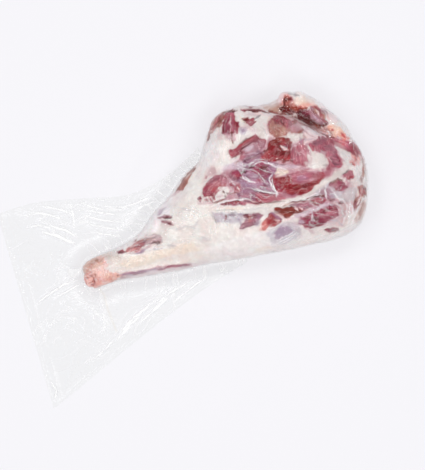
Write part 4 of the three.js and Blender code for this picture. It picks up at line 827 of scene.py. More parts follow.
# How the meat is painted and shaped. Lengths are in millimetres and covers are shares.
GRAIN_DEFAULT = -6.0  # degrees, where no area turns it
PAINT_WANDER = 1.7  # how far what is painted strays from its outline
SIDE_WANDER = 7.0  # and how much further on steep sides
FEATHER = 2.0  # how far an area's threads run past its outline
THREAD_SIZE = 3.6
THREAD_STRETCH = 5.0
THREAD_GAPS = 0.4  # how much of the ground shows between the threads
BUNDLE_SIZE = 3.4
BUNDLE_STRETCH = 7.0
BUNDLE_SHADE = 0.26  # of the lean meat, from bundle to bundle
MOTTLE = 0.06
SINEW_COVER = 0.25
RIM_SHADE = 0.22  # of a muscle just inside its outline
RIM_INSET = 1.6
RIM_WIDTH = 1.1
BLUSH_COVER = 0.16  # of the thin meat that shows through the fat round an area
UNDERSIDE_TONE = "fat"
UNDERSIDE_BLUSH = 0.75  # cover of the meat that shows through the fat of the underside
UNDERSIDE_BLUSH_SIZE = 34.0
UNDERSIDE_WET = 0.6  # how wet the meat is where it shows there
SIDE_PAINTED_LIGHT = 0.55  # how much whiter the fat is painted on the leg's steep sides, as painted light against the shade that falls there
TORN_END = 38.0  # how far from the shank's end the gristle is torn and flecked
FLECK_COVER = 0.6
TEAR_COVER = 0.35
TORN_RELIEF = 0.5
LUMP_RELIEF = 0.35  # of the whole meat's lumps, then of its pits and of the bundles
PIT_RELIEF = 0.12
BUNDLE_RELIEF = 0.2
MEAT_LIFT = 0.1  # least height of the meat over the table
BONE_LUMPS = 1.3  # height of the bared joint's lumps
BARE_BONE_END = 10.0  # where the bared joint's lumps begin to die out

# Swellings of the meat's sides: height, width and line
MEAT_BULGES = [
    (5.0, 16.0, [(268, 107), (284, 101), (298, 94), (312, 87), (328, 82)]),
    (2.5, 14.0, [(236, 96), (252, 105), (266, 108), (284, 102)]),
]

# Folds of the film where it clings to the meat: how strong, how wide and the line
CLING_FOLDS = [
    (1.0, 2.0, [(260, 23), (266, 27), (275, 29), (283, 27), (290, 20)]),
    (1.0, 2.2, [(251, 18), (254, 12), (260, 5)]),
    (0.5, 1.6, [(246, 20), (249, 14), (254, 8)]),
    (0.5, 1.8, [(256, 36), (258, 30), (257, 25)]),
    (1.2, 2.4, [(284, 2), (281, -8), (280, -18), (281, -25), (276, -27)]),
    (1.1, 2.2, [(250, 1), (258, -7), (264, -12), (270, -17), (278, -21)]),
    (0.6, 1.8, [(186, 13), (194, 8), (200, 5), (214, 1)]),
    (0.6, 1.8, [(205, 16), (210, 8), (214, 3)]),
    (0.5, 1.8, [(196, 36), (206, 34), (218, 36)]),
    (0.7, 1.8, [(313, 33), (317, 28), (321, 24)]),
    (0.8, 1.8, [(308, -9), (305, -16), (303, -21)]),
    (0.4, 1.6, [(302, -10), (299, -18)]),
    (0.5, 1.8, [(357, 38), (363, 29), (369, 19)]),
    (0.6, 1.6, [(388, 52), (394, 41), (399, 33)]),
    (1.1, 2.0, [(342, -45), (339, -52), (337, -60)]),
    (0.3, 1.8, [(313, -61), (310, -70), (306, -79)]),
    (0.7, 1.8, [(346, -60), (350, -67), (352, -72), (358, -80)]),
    (0.5, 1.8, [(343, -71), (345, -80), (346, -88)]),
    (1.0, 2.0, [(363, -78), (359, -85), (354, -95), (349, -104)]),
    (0.5, 1.8, [(366, -78), (372, -68), (380, -61)]),
    (0.9, 2.0, [(397, -58), (393, -69), (388, -78)]),
    (0.6, 1.8, [(404, -50), (402, -60), (397, -70)]),
    (0.8, 2.0, [(398, -44), (390, -53), (381, -59)]),
    (0.7, 1.8, [(294, -44), (304, -46), (314, -50), (326, -49), (336, -53)]),
    (0.4, 1.8, [(326, -90), (333, -100)]),
    (0.4, 1.8, [(336, -99), (346, -89), (352, -82)]),
    (0.8, 2.2, [(206, -13), (213, -16), (221, -19)]),
    (0.5, 1.8, [(187, -6), (190, -16), (188, -26)]),
    (0.5, 1.8, [(196, -10), (199, -20), (196, -28)]),
    (0.5, 1.6, [(232, -29), (240, -33), (247, -37)]),
    (0.8, 1.6, [(270, -67), (275, -74), (280, -83), (286, -90)]),
    (0.7, 1.3, [(250, -81), (265, -82), (281, -82)]),
    (0.7, 1.3, [(252, -84), (267, -85), (283, -85)]),
    (0.6, 1.3, [(256, -87), (270, -88), (284, -88)]),
    (0.6, 2.4, [(182, -20), (177, -31), (171, -41)]),
    (0.6, 2.4, [(191, -21), (184, -32), (177, -39)]),
    (0.4, 2.4, [(136, -20), (142, -27), (148, -31)]),
    (0.7, 1.8, [(96, -11), (106, -13), (116, -17), (122, -19)]),
    (0.4, 1.6, [(92, -16), (104, -17), (114, -21)]),
    (0.4, 1.8, [(155, 17), (162, 14), (169, 8)]),
    (0.5, 1.5, [(46, 10), (49, 6), (48, 2)]),
]
CLING_FOLD_HEIGHT = 1.3
CLING_FOLD_CREASE = 0.35  # how rounded the folds' crests are
CLING_BRIDGE = 4.0  # how far off the meat the film is drawn tight over hollows, before it is let down
CLING_STAND_OFF = 0.8  # least distance of the film from the meat
CLING_LIFT = 0.02  # least height of the film over the table
SIDE_WRINKLE_HEIGHT = 0.5  # of the upright wrinkles down the leg's sides
SIDE_WRINKLE_SIZE = (14.0, 14.0, 40.0)
FOLD_HAZE_AND_GLINT = 1.1  # how white the clinging film turns on its folds' crests, then on its wrinkles' crests: partly creased film gone milky, partly painted highlight where they glint
WRINKLE_HAZE_AND_GLINT = 0.55
# Fields of fine wrinkles in the clinging film: middle, length, width and turn of the field, then the
# wrinkles' height, spacing, stretch and direction
CLING_FIELDS = [
    ((258, 4), 90, 60, -20, 0.9, 7.0, 4.0, -52),
    ((160, -4), 100, 60, -10, 0.8, 9.0, 5.0, -30),
    ((336, -72), 100, 50, 0, 0.9, 7.0, 4.0, -58),
    ((208, -16), 50, 40, 0, 1.0, 5.5, 2.5, -50),
    ((320, 30), 90, 70, 0, 0.35, 9.0, 5.0, 62),
    ((236, 70), 60, 60, 40, 0.5, 7.0, 4.0, 78),
    ((70, -6), 150, 44, -6, 0.6, 6.0, 4.5, -12),
    ((396, 46), 30, 110, -25, 0.5, 7.0, 3.0, -50),
    ((300, -104), 190, 26, -8, 0.5, 8.0, 4.0, -8),
    ((400, -30), 30, 120, 0, 0.9, 6.0, 3.5, 72),
]

# The loose part of the bag: its side edges from the sealed end to where the meat fills it
BAG_NEAR_EDGE = [
    (-125, -148), (-88, -140), (-48, -131), (6, -119), (74, -105), (135, -95), (172, -91), (204, -88),
]
BAG_FAR_EDGE = [(-73, 125), (-42, 121), (-14, 114), (40, 92), (98, 68), (150, 66), (190, 74), (214, 82)]
SKIRT_CLIMB = 13.0  # how high the film stands where it meets the meat
SKIRT_CLIMB_REACH = 17.0
SKIRT_OVERLAP = 2.5  # how far it runs into the leg's solid
PLEAT_SPACING = 8.0  # of the pleats that run from the leg into the loose film
PLEAT_HEIGHT = 2.4
PLEAT_REACH = 38.0
PLEAT_BEND = 0.12  # how much the pleats turn on their way
SKIRT_LOFT = 1.0  # height of the upper film over the lower one, away from the seams
SKIRT_SWELL = 1.4  # and of its broad waves
SKIRT_SWELL_SIZE = 36.0
SKIRT_BASE = 0.3  # least height of the upper film over the table
UNDER_BASE = 0.1  # least height of the lower film, then the height of its waves
UNDER_SWELL = 0.25
UNDER_SWELL_SIZE = 18.0
UNDER_CLIMB = 0.7  # share of the upper film's climb
FILM_GAP = 0.15  # least gap between the films
SEAM_WIDTH = 5.0
SEAM_FLATTENS = 0.5  # share of the waves that a seam takes out
SEAL_PLACE = 14.0  # of the heat seal, from the sealed end's edge
SEAL_WIDTH = 6.0
SEAL_FLATTENS = 0.4
SEAL_RIB_SPACING = 2.4
SEAL_RIB_HEIGHT = 0.05
CRINKLE_HAZE_AND_GLINT = 0.5  # how white the loose film turns on its crinkles' crests, partly milky and partly painted highlight where they glint, then how milky it is on the seal and the seams
SEAL_HAZE = 0.05
SEAM_HAZE = 0.03
SKIRT_FOLD_CREASE = 0.3
# Folds of the loose film: height, width and line
SKIRT_FOLDS = [
    (3.0, 3.0, [(-86, -10), (-62, -6), (-40, -2), (-12, -6)]),
    (2.4, 2.4, [(-58, -14), (-36, -12), (-10, -12)]),
    (3.2, 4.5, [(-32, 78), (-14, 62), (6, 38)]),
    (2.4, 3.0, [(-22, 84), (2, 62), (14, 42)]),
    (2.2, 2.4, [(-48, 92), (-30, 86), (-12, 72)]),
    (2.0, 2.2, [(-28, 106), (-8, 90), (6, 76)]),
    (2.0, 2.2, [(-14, 108), (6, 92), (20, 78)]),
    (2.2, 2.2, [(24, 96), (20, 78), (12, 60)]),
    (2.2, 2.2, [(34, 92), (44, 78), (64, 60)]),
    (2.4, 2.2, [(36, 78), (52, 64), (76, 48)]),
    (2.4, 2.2, [(32, 70), (52, 52), (80, 34)]),
    (2.2, 2.0, [(30, 58), (50, 42), (74, 26)]),
    (2.0, 2.0, [(30, 46), (48, 32), (66, 20)]),
    (2.0, 2.0, [(56, 72), (74, 62), (94, 50)]),
    (2.2, 2.2, [(84, 56), (104, 52), (128, 50)]),
    (1.8, 2.0, [(98, 44), (114, 44), (132, 42)]),
    (2.2, 2.4, [(-62, -112), (-34, -110), (-4, -100)]),
    (2.0, 4.5, [(-8, -104), (18, -94), (44, -86)]),
    (2.0, 4.0, [(0, -98), (30, -86), (64, -80)]),
    (1.6, 4.0, [(26, -98), (58, -90), (96, -80)]),
    (1.4, 3.2, [(60, -86), (90, -78), (130, -76)]),
    (1.2, 3.0, [(84, -92), (116, -86), (150, -80)]),
    (2.4, 2.6, [(-118, -140), (-110, -126), (-112, -112)]),
    (1.8, 2.2, [(-80, -46), (-70, -40), (-66, -48)]),
    (1.8, 2.0, [(4, -30), (-2, -58), (-18, -92)]),
]
# Fields of fine crinkles in the loose film, listed as the clinging film's fields are
SKIRT_FIELDS = [
    ((60, 60), 110, 70, -34, 1.4, 9.0, 4.5, -34),
    ((-10, 88), 90, 60, -34, 1.2, 9.0, 4.0, -34),
    ((-38, 18), 50, 60, 0, 1.4, 8.0, 2.5, 30),
    ((-26, -52), 80, 90, 30, 1.1, 9.0, 3.0, -40),
    ((60, -88), 190, 40, 10, 0.8, 13.0, 4.5, 12),
    ((-80, -44), 50, 50, 0, 0.8, 11.0, 2.5, 40),
    ((-84, 60), 70, 110, 0, 0.6, 15.0, 3.0, -34),
    ((-70, -110), 90, 50, 0, 0.6, 14.0, 3.0, 0),
    ((140, 66), 130, 40, 5, 1.2, 8.0, 3.5, 10),
]
# Meat juice that has run down inside the loose film
JUICE_LINE = [(5, -26), (8, -40), (3, -60), (0, -92)]
JUICE_WIDTH = 2.4
STAIN_COVER = 0.16
STAIN_TINT = (0.93, 0.84, 0.66, 1.0)
UNDER_HAZE = 0.1  # share of the upper film's milkiness and painted highlight that the lower one has, then of its stain
UNDER_STAIN = 0.5

# Fibres of the meat's material to a metre: along the grain, across it and upwards
FIBRES_ALONG = 60.0
FIBRES_ACROSS = 620.0
FIBRES_UP = 300.0


def smooth(value, start, end):
    """0 at start and 1 at end, with a smooth change between them."""
    t = np.clip((value - start) / (end - start), 0.0, 1.0)
    return t * t * (3.0 - 2.0 * t)


def bell(value):
    return np.exp(-value * value)


def linear(tone):
    """Linear colour of a tone that is given as 0 to 255."""
    share = np.asarray(tone, float) / 255.0
    return np.where(share <= 0.04045, share / 12.92, ((share + 0.055) / 1.055) ** 2.4)


def lattice(cell, seed):
    """A repeatable random number from -1 to 1 for each whole-numbered place."""
    bits = (cell[:, 0] * 73856093) ^ (cell[:, 1] * 19349663) ^ (cell[:, 2] * 83492791) ^ (seed * 2654435)
    bits = (bits ^ (bits >> 13)) * 1274126177
    bits = (bits ^ (bits >> 16)) & 0xFFFF
    return bits / 32767.5 - 1.0


NOISE_TURN = np.array(Matrix.Rotation(0.6, 3, Vector((1, 2, 3)).normalized()))


def noise(points, seed):
    """Smooth noise from -1 to 1, with forms about one unit wide."""
    turned = points @ NOISE_TURN.T
    cell = np.floor(turned).astype(np.int64)
    t = turned - cell
    t = t * t * (3.0 - 2.0 * t)
    total = np.zeros(len(points))
    for corner in range(8):
        step = np.array([(corner >> axis) & 1 for axis in range(3)])
        weight = np.prod(np.where(step, t, 1.0 - t), axis=1)
        total += weight * lattice(cell + step, seed)
    return total


def layered(points, size, seed, layers=3):
    """Noise of several sizes, from size down by halves."""
    total = np.zeros(len(points))
    for layer in range(layers):
        total += 0.5**layer * noise(points * (2**layer / size), seed + 17 * layer)
    return total


def turned_plan(points, degrees):
    """Plan coordinates along and across a direction, which may differ from point to point."""
    turn = np.radians(degrees)
    along = points[:, 0] * np.cos(turn) + points[:, 1] * np.sin(turn)
    across = points[:, 1] * np.cos(turn) - points[:, 0] * np.sin(turn)
    return along, across


def line_distance(x, y, line, closed=False):
    """Distance of plan points to a line of straight pieces."""
    corners = list(line) + ([line[0]] if closed else [])
    best = np.full(x.shape, np.inf)
    for (ax, ay), (bx, by) in zip(corners, corners[1:]):
        dx, dy = bx - ax, by - ay
        t = np.clip(((x - ax) * dx + (y - ay) * dy) / (dx * dx + dy * dy), 0.0, 1.0)
        best = np.minimum(best, np.hypot(x - ax - t * dx, y - ay - t * dy))
    return best


def along_line(x, y, line):
    """Share of a line's length at its point nearest to each plan point."""
    lengths = [math.dist(a, b) for a, b in zip(line, line[1:])]
    best = np.full(x.shape, np.inf)
    place = np.zeros(x.shape)
    start = 0.0
    for (ax, ay), (bx, by), length in zip(line, line[1:], lengths):
        t = np.clip(((x - ax) * (bx - ax) + (y - ay) * (by - ay)) / length**2, 0.0, 1.0)
        distance = np.hypot(x - ax - t * (bx - ax), y - ay - t * (by - ay))
        place = np.where(distance < best, start + t * length, place)
        best = np.minimum(best, distance)
        start += length
    return place / start


def outline_distance(x, y, outline):
    """Distance of plan points to a closed outline, negative inside it."""
    inside = np.zeros(x.shape, bool)
    for (ax, ay), (bx, by) in zip(outline, outline[1:] + outline[:1]):
        crosses = (ay > y) != (by > y)
        with np.errstate(divide="ignore", invalid="ignore"):
            inside ^= crosses & (x < (bx - ax) * (y - ay) / (by - ay) + ax)
    distance = line_distance(x, y, outline, closed=True)
    return np.where(inside, -distance, distance)


def near(points, corners, margin):
    """Which plan points lie within margin of the box of some corners."""
    corner = np.asarray(corners, float)
    low, high = corner.min(axis=0) - margin, corner.max(axis=0) + margin
    return np.all((points[:, :2] > low) & (points[:, :2] < high), axis=1)


def mesh_points(mesh):
    """A mesh's vertices on the plan, in millimetres."""
    points = np.empty(len(mesh.vertices) * 3)
    mesh.vertices.foreach_get("co", points)
    return points.reshape(-1, 3) / MM - PLAN_ORIGIN


def set_mesh_points(mesh, points):
    mesh.vertices.foreach_set("co", ((points + PLAN_ORIGIN) * MM).ravel())
    mesh.update()


def mesh_normals(mesh):
    normals = np.empty(len(mesh.vertices) * 3)
    mesh.vertex_normals.foreach_get("vector", normals)
    return normals.reshape(-1, 3)


def set_colours(mesh, name, colours):
    layer = mesh.color_attributes.new(name, "FLOAT_COLOR", "POINT")
    layer.data.foreach_set("color", np.column_stack([colours, np.ones(len(colours))]).ravel())


def set_numbers(mesh, name, values):
    layer = mesh.attributes.new(name, "FLOAT", "POINT")
    layer.data.foreach_set("value", np.asarray(values, np.float32))


def set_vectors(mesh, name, vectors):
    layer = mesh.attributes.new(name, "FLOAT_VECTOR", "POINT")
    layer.data.foreach_set("vector", vectors.ravel())


def shade_smooth(mesh):
    mesh.polygons.foreach_set("use_smooth", np.ones(len(mesh.polygons), bool))


def new_piece(name, mesh, body="root"):
    piece = bpy.data.objects.new(name, mesh)
    bpy.context.scene.collection.objects.link(piece)
    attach(piece, body)
    return piece


def copy_of(name, *sources):
    """One new mesh that holds the triangles of other objects, which stay as they are."""
    points = []
    faces = []
    offset = 0
    for source in sources:
        mesh = source.data
        points += [vertex.co.copy() for vertex in mesh.vertices]
        faces += [[index + offset for index in polygon.vertices] for polygon in mesh.polygons]
        offset = len(points)
    joined = bpy.data.meshes.new(name)
    joined.from_pydata(points, [], faces)
    return joined


def remeshed(voxel):
    """The modifier that makes one even skin, with a fineness in millimetres."""
    return "REMESH", {"mode": "VOXEL", "voxel_size": voxel * MM}


def smoothed(passes):
    """The modifier that smooths a mesh."""
    return "SMOOTH", {"factor": SOFTEN, "iterations": passes}


def applied(mesh, *modifiers):
    """The mesh after some modifiers, each a type and its settings."""
    holder = bpy.data.objects.new("holder", mesh)
    bpy.context.scene.collection.objects.link(holder)
    for kind, settings in modifiers:
        modifier = holder.modifiers.new(kind, kind)
        for key, value in settings.items():
            setattr(modifier, key, value)
    finished = holder.evaluated_get(bpy.context.evaluated_depsgraph_get())
    result = bpy.data.meshes.new_from_object(finished)
    bpy.data.objects.remove(holder)
    return result


def thinned(mesh):
    """The mesh with its flattest faces merged, so that it keeps to the number of triangles for a piece."""
    mesh.calc_loop_triangles()
    share = PIECE_TRIANGLES / len(mesh.loop_triangles)
    return applied(mesh, ("DECIMATE", {"ratio": share})) if share < 1.0 else mesh


def add_folds(points, folds, crease):
    """Height of sharp folds at plan points, and how much of a crest each point is."""
    height = np.zeros(len(points))
    crest = np.zeros(len(points))
    for index, (strength, width, line) in enumerate(folds):
        close = near(points, line, 4 * width)
        spot = points[close]
        wander = 0.8 * noise(spot / 9.0, 5)
        x, y = spot[:, 0] + wander, spot[:, 1] - wander
        distance = line_distance(x, y, line)
        along = along_line(x, y, line)
        taper = smooth(np.minimum(along, 1.0 - along), 0.0, 0.3)
        broken = np.clip(0.65 + 0.6 * noise(spot / 6.0, 600 + index), 0.1, 1.0)
        profile = np.exp(-np.sqrt((distance / (0.5 * width)) ** 2 + crease**2) + crease)
        height[close] = np.maximum(height[close], strength * taper * profile)
        crest[close] = np.maximum(crest[close], strength * broken * taper * bell(distance / (0.33 * width)))
    return height, crest


def add_fields(points, fields, seed):
    """Height of fine wrinkles at plan points, and how much of a crest each point is."""
    height = np.zeros(len(points))
    crest = np.zeros(len(points))
    for index, (middle, length, width, turn, rise, spacing, stretch, direction) in enumerate(fields):
        along, across = turned_plan(points - np.array([*middle, 0.0]), turn)
        share = bell(np.hypot(along / (0.5 * length), across / (0.5 * width)) ** 2)
        along, across = turned_plan(points, direction)
        wander = 0.9 * spacing * noise(points / (2.2 * spacing), seed + index)
        length_share = along / (spacing * stretch)
        spot = np.column_stack([length_share, (across + wander) / spacing, points[:, 2] / spacing])
        ridge = (1.0 - np.abs(noise(spot, seed + 40 + index))) ** 4
        fine = (1.0 - np.abs(noise(1.9 * spot + 7.0, seed + 80 + index))) ** 4
        height += rise * share * (ridge + 0.4 * fine)
        sharp = np.maximum(smooth(ridge, 0.7, 0.95), 0.6 * smooth(fine, 0.75, 0.95))
        crest = np.maximum(crest, min(rise, 1.0) * share * sharp)
    return height, crest


def drifting(tone, drift):
    """Colours that drift between a tone's two parts, with what the film adds and takes left out."""
    seen = [linear(part) for part in TONES[tone]]
    main, other = (np.clip((part - VEIL) / MEAT_LIGHT, *ALBEDO_RANGE) for part in seen)
    return main + (other - main) * drift[:, None]


def covered(colour, tone, drift, share):
    """Colours with a share of each covered by a tone."""
    return colour + (drifting(tone, drift) - colour) * share[:, None]


def as_seen(points):
    """Moves points to where they show in the photograph, whose scale holds at one height only."""
    spread = CAMERA_DISTANCE / (CAMERA_DISTANCE - (points[:, 2] - VIEW_HEIGHT) * MM)
    middle = np.array(VIEW_CENTRE)
    plan = middle + (points[:, :2] - middle) * spread[:, None]
    return np.column_stack([plan, points[:, 2]])


class Coat:
    """The meat's paint at each vertex: its colour, wetness and relief and the turn of its grain."""

    def __init__(self, points, normals):
        self.points = as_seen(points)
        self.facing = normals[:, 2]  # 1 where the surface faces straight up
        self.upper = smooth(self.facing, -0.55, 0.05)
        self.drift = np.clip(0.5 + 0.9 * layered(self.points, TONE_DRIFT_SIZE, 21, 4), 0.0, 1.0)
        self.colour = drifting(UNDERSIDE_TONE, self.drift)
        self.wet = np.zeros(len(points))
        self.relief = np.zeros(len(points))
        self.grain = np.full(len(points), GRAIN_DEFAULT)

    def tint(self, tone, share):
        """Covers a share of every vertex with a tone, and changes nothing else."""
        self.colour = covered(self.colour, tone, self.drift, share)

    def lay(self, close, share, tone, turn=None):
        """Covers a share of some vertices of the upper face with a tone, its wetness, relief and grain."""
        share = share * self.upper[close]
        self.colour[close] = covered(self.colour[close], tone, self.drift[close], share)
        wetness = 1.0 if tone in SUNK else 0.0
        self.wet[close] += (wetness - self.wet[close]) * share
        self.relief[close] += (SUNK.get(tone, FAT_RISE) - self.relief[close]) * share
        if turn is not None:
            self.grain[close] = np.where(share > 0.5, turn, self.grain[close])


def strayed_places(coat):
    """Where each vertex takes its paint from, so that no outline is drawn as straight as it is listed."""
    loose = 1.0 - smooth(coat.facing, -0.1, 0.6)
    places = coat.points.copy()
    for axis, seed in ((0, 1), (1, 11)):
        fine = PAINT_WANDER * layered(coat.points, 7.0, seed)
        places[:, axis] += fine + SIDE_WANDER * loose * noise(coat.points / 22.0, seed + 2)
    return places


def paint_underside(coat):
    """Thin meat that shows through the pale fat of the underside."""
    patches = layered(coat.points, UNDERSIDE_BLUSH_SIZE, 31)
    blush = smooth(patches, 0.15, 0.75) * (1.0 - coat.upper)
    coat.tint("pink", UNDERSIDE_BLUSH * blush)
    coat.wet = UNDERSIDE_WET * blush


def paint_areas(coat, places):
    """Muscles and fat, with ragged threads along their outlines and a darker rim inside the muscles'."""
    for tone, turn, edge, cover, outline in AREAS:
        close = near(places, outline, 2 * edge + FEATHER)
        spot = places[close]
        own = coat.points[close]
        along, across = turned_plan(own, turn)
        stretched = np.column_stack([along / THREAD_STRETCH, across, own[:, 2]])
        thread = layered(stretched, THREAD_SIZE, 61, 2)
        distance = outline_distance(spot[:, 0], spot[:, 1], outline)
        distance += FEATHER * thread
        coat.lay(close, BLUSH_COVER * cover * smooth(distance, 2.0 * edge, -0.5 * edge), tone)
        share = cover * smooth(distance, 0.3 * edge, -0.3 * edge)
        share *= 1.0 - THREAD_GAPS * smooth(thread, 0.45, 0.9)
        coat.lay(close, share, tone, turn)
        if tone in SUNK:
            rim = RIM_SHADE * cover * coat.upper[close] * bell((distance + RIM_INSET) / RIM_WIDTH)
            rim *= smooth(noise(spot / 7.0, 65), -0.3, 0.4)
            coat.colour[close] *= (1.0 - rim)[:, None]


def paint_streaks(coat, places):
    """Seams, threads and creases, which swell and narrow on their way and taper at their ends."""
    for tone, width, edge, cover, line in STREAKS:
        close = near(places, line, width + edge)
        spot = places[close]
        distance = line_distance(spot[:, 0], spot[:, 1], line)
        along = along_line(spot[:, 0], spot[:, 1], line)
        swell = 0.9 + 0.5 * noise(spot / 5.0, 67)
        swell *= 0.45 + 0.55 * smooth(np.minimum(along, 1.0 - along), 0.0, 0.25)
        outer = 0.5 * (width * swell + edge)
        inner = 0.5 * (width * swell - edge)
        coat.lay(close, cover * smooth(distance, outer, inner), tone)


def paint_light_on_sides(coat):
    """Painted light: fat made whiter on the leg's steep sides, behind the torn end, against the shade that
    falls on them.
    """
    side = coat.upper * (1.0 - smooth(coat.facing, 0.45, 1.0)) * (1.0 - coat.wet)
    side *= smooth(coat.points[:, 0], TORN_END, TORN_END + 20.0)
    coat.tint("white", SIDE_PAINTED_LIGHT * side)


def tear_end(coat):
    """Torn and flecked gristle at the shank's end."""
    torn = 1.0 - smooth(coat.points[:, 0], TORN_END - 8.0, TORN_END + 6.0)
    flecks = torn * smooth(layered(coat.points, 2.6, 95, 2), 0.1, 0.7)
    coat.tint("blush fat", FLECK_COVER * flecks)
    tears = torn * smooth(1.0 - np.abs(layered(coat.points, 5.5, 97, 2)), 0.86, 0.97)
    coat.tint("bright red", TEAR_COVER * tears)
    coat.relief += torn * TORN_RELIEF * layered(coat.points, 2.8, 99, 2)


def draw_fibres(coat):
    """Bundles of fibres along the grain with sinew between them, and the whole meat's lumps and pits."""
    points = coat.points
    along, across = turned_plan(points, coat.grain)
    stretched = np.column_stack([along / BUNDLE_STRETCH, across, points[:, 2] / 2.0])
    bundles = layered(stretched, BUNDLE_SIZE, 55, 2)
    sinew = smooth(1.0 - np.abs(bundles + 0.25 * noise(points / 5.0, 57)), 0.86, 0.99)
    sinew *= SINEW_COVER * coat.wet * smooth(noise(points / 9.0, 58), -0.2, 0.5)
    coat.tint("pink fat", sinew)
    mottle = 1.0 + MOTTLE * layered(points, 5.0, 51) + coat.wet * BUNDLE_SHADE * bundles
    coat.colour = np.clip(coat.colour * mottle[:, None], 0.0, 1.0)
    lumps = LUMP_RELIEF * layered(points, 7.0, 71)
    pits = PIT_RELIEF * layered(points, 2.8, 81)
    coat.relief += lumps + pits + BUNDLE_RELIEF * coat.wet * bundles


def paint_meat(points, normals):
    """The meat's coat, from the underside's fat to the fibres."""
    coat = Coat(points, normals)
    places = strayed_places(coat)
    paint_underside(coat)
    paint_areas(coat, places)
    paint_streaks(coat, places)
    paint_light_on_sides(coat)
    tear_end(coat)
    draw_fibres(coat)
    return coat


def grain_vectors(grain):
    turn = np.radians(grain)
    return np.column_stack([np.cos(turn), np.sin(turn), np.zeros(len(grain))])


# Materials
def material(name):
    made = bpy.data.materials.new(name)
    made.use_nodes = True
    made.node_tree.nodes.clear()
    return made, made.node_tree


def socket_of(node, key):
    """A node's input by its name, with _ for a space, or by its number, given as i and the number."""
    if key[0] == "i" and key[1:].isdigit():
        return node.inputs[int(key[1:])]
    return node.inputs[key.replace("_", " ")]


def add(tree, kind, settings=None, **inputs):
    """A node with its settings, and with inputs that are numbers or other nodes' outputs."""
    node = tree.nodes.new("ShaderNode" + kind)
    for key, value in (settings or {}).items():
        setattr(node, key, value)
    for key, value in inputs.items():
        socket = socket_of(node, key)
        if isinstance(value, bpy.types.NodeSocket):
            tree.links.new(value, socket)
        else:
            socket.default_value = value
    return node


def attribute(tree, name, output):
    return add(tree, "Attribute", {"attribute_name": name}).outputs[output]


def finish_material(tree, surface):
    output = add(tree, "OutputMaterial")
    tree.links.new(surface, output.inputs["Surface"])


def math_node(tree, operation, a, b):
    return add(tree, "Math", {"operation": operation}, i0=a, i1=b).outputs[0]


def vector_node(tree, operation, a, b, output=0):
    return add(tree, "VectorMath", {"operation": operation}, i0=a, i1=b).outputs[output]


def pattern(tree, place, scale, detail=3.0, roughness=0.6):
    return add(tree, "TexNoise", Vector=place, Scale=scale, Detail=detail, Roughness=roughness).outputs["Fac"]


def mapped(tree, value, start, end, low, high):
    """A number that goes from low to high while the value goes from start to end."""
    node = add(tree, "MapRange", Value=value, From_Min=start, From_Max=end, To_Min=low, To_Max=high)
    return node.outputs[0]


def mixed(tree, share, first, second):
    """The first colour with a share of the second."""
    return add(tree, "Mix", {"data_type": "RGBA"}, Factor=share, i6=first, i7=second).outputs[2]


def bumps(tree, height, strength, depth):
    return add(tree, "Bump", Strength=strength, Distance=depth, Height=height).outputs[0]


def shade(tree, colour, amount):
    """Colour darkened or lightened by an amount round 1."""
    factors = add(tree, "CombineXYZ", X=amount, Y=amount, Z=amount).outputs[0]
    return vector_node(tree, "MULTIPLY", colour, factors)


def fibre_pattern(tree, place):
    """Fine noise that is drawn out along the meat's grain."""
    grain = attribute(tree, "grain", "Vector")
    along = vector_node(tree, "DOT_PRODUCT", place, grain, "Value")
    sideways = vector_node(tree, "CROSS_PRODUCT", grain, (0.0, 0.0, -1.0))
    across = vector_node(tree, "DOT_PRODUCT", place, sideways, "Value")
    height = add(tree, "SeparateXYZ", Vector=place).outputs["Z"]
    fibre_place = add(
        tree, "CombineXYZ",
        X=math_node(tree, "MULTIPLY", along, FIBRES_ALONG),
        Y=math_node(tree, "MULTIPLY", across, FIBRES_ACROSS),
        Z=math_node(tree, "MULTIPLY", height, FIBRES_UP),
    ).outputs[0]
    return pattern(tree, fibre_place, 1.0)


def meat_material():
    """Raw meat and fat: the lean is fibrous with pale threads, and the fat is lumpy."""
    made, tree = material("raw_meat")
    tint = attribute(tree, "tint", "Color")
    wet = attribute(tree, "wet", "Fac")
    place = add(tree, "TexCoord").outputs["Object"]
    fibre = fibre_pattern(tree, place)
    speck = pattern(tree, place, 420.0)
    lump = pattern(tree, place, 140.0, roughness=0.55)

    threads = math_node(tree, "MULTIPLY", mapped(tree, fibre, 0.56, 0.74, 0.0, 0.3), wet)
    pale = mixed(tree, threads, tint, (0.78, 0.55, 0.52, 1.0))
    specks = add(tree, "Math", {"operation": "MULTIPLY_ADD"}, i0=speck, i1=0.24, i2=0.88).outputs[0]
    fibres = math_node(tree, "MULTIPLY", mapped(tree, fibre, 0.35, 0.65, -0.16, 0.16), wet)
    toned = shade(tree, pale, math_node(tree, "ADD", fibres, specks))

    lean_height = math_node(tree, "MULTIPLY", fibre, wet)
    dryness = math_node(tree, "SUBTRACT", 1.0, wet)
    fat_height = math_node(tree, "MULTIPLY", lump, dryness)
    bump = bumps(tree, math_node(tree, "ADD", lean_height, fat_height), 0.5, 0.0006)
    rough = mapped(tree, lump, 0.3, 0.7, 0.34, 0.5)
    surface = add(
        tree, "BsdfPrincipled", Base_Color=toned, Roughness=rough, Normal=bump, IOR=1.2,
        Subsurface_Weight=0.12, Subsurface_Radius=(1.0, 0.35, 0.25), Subsurface_Scale=0.003,
    )
    finish_material(tree, surface.outputs[0])
    return made


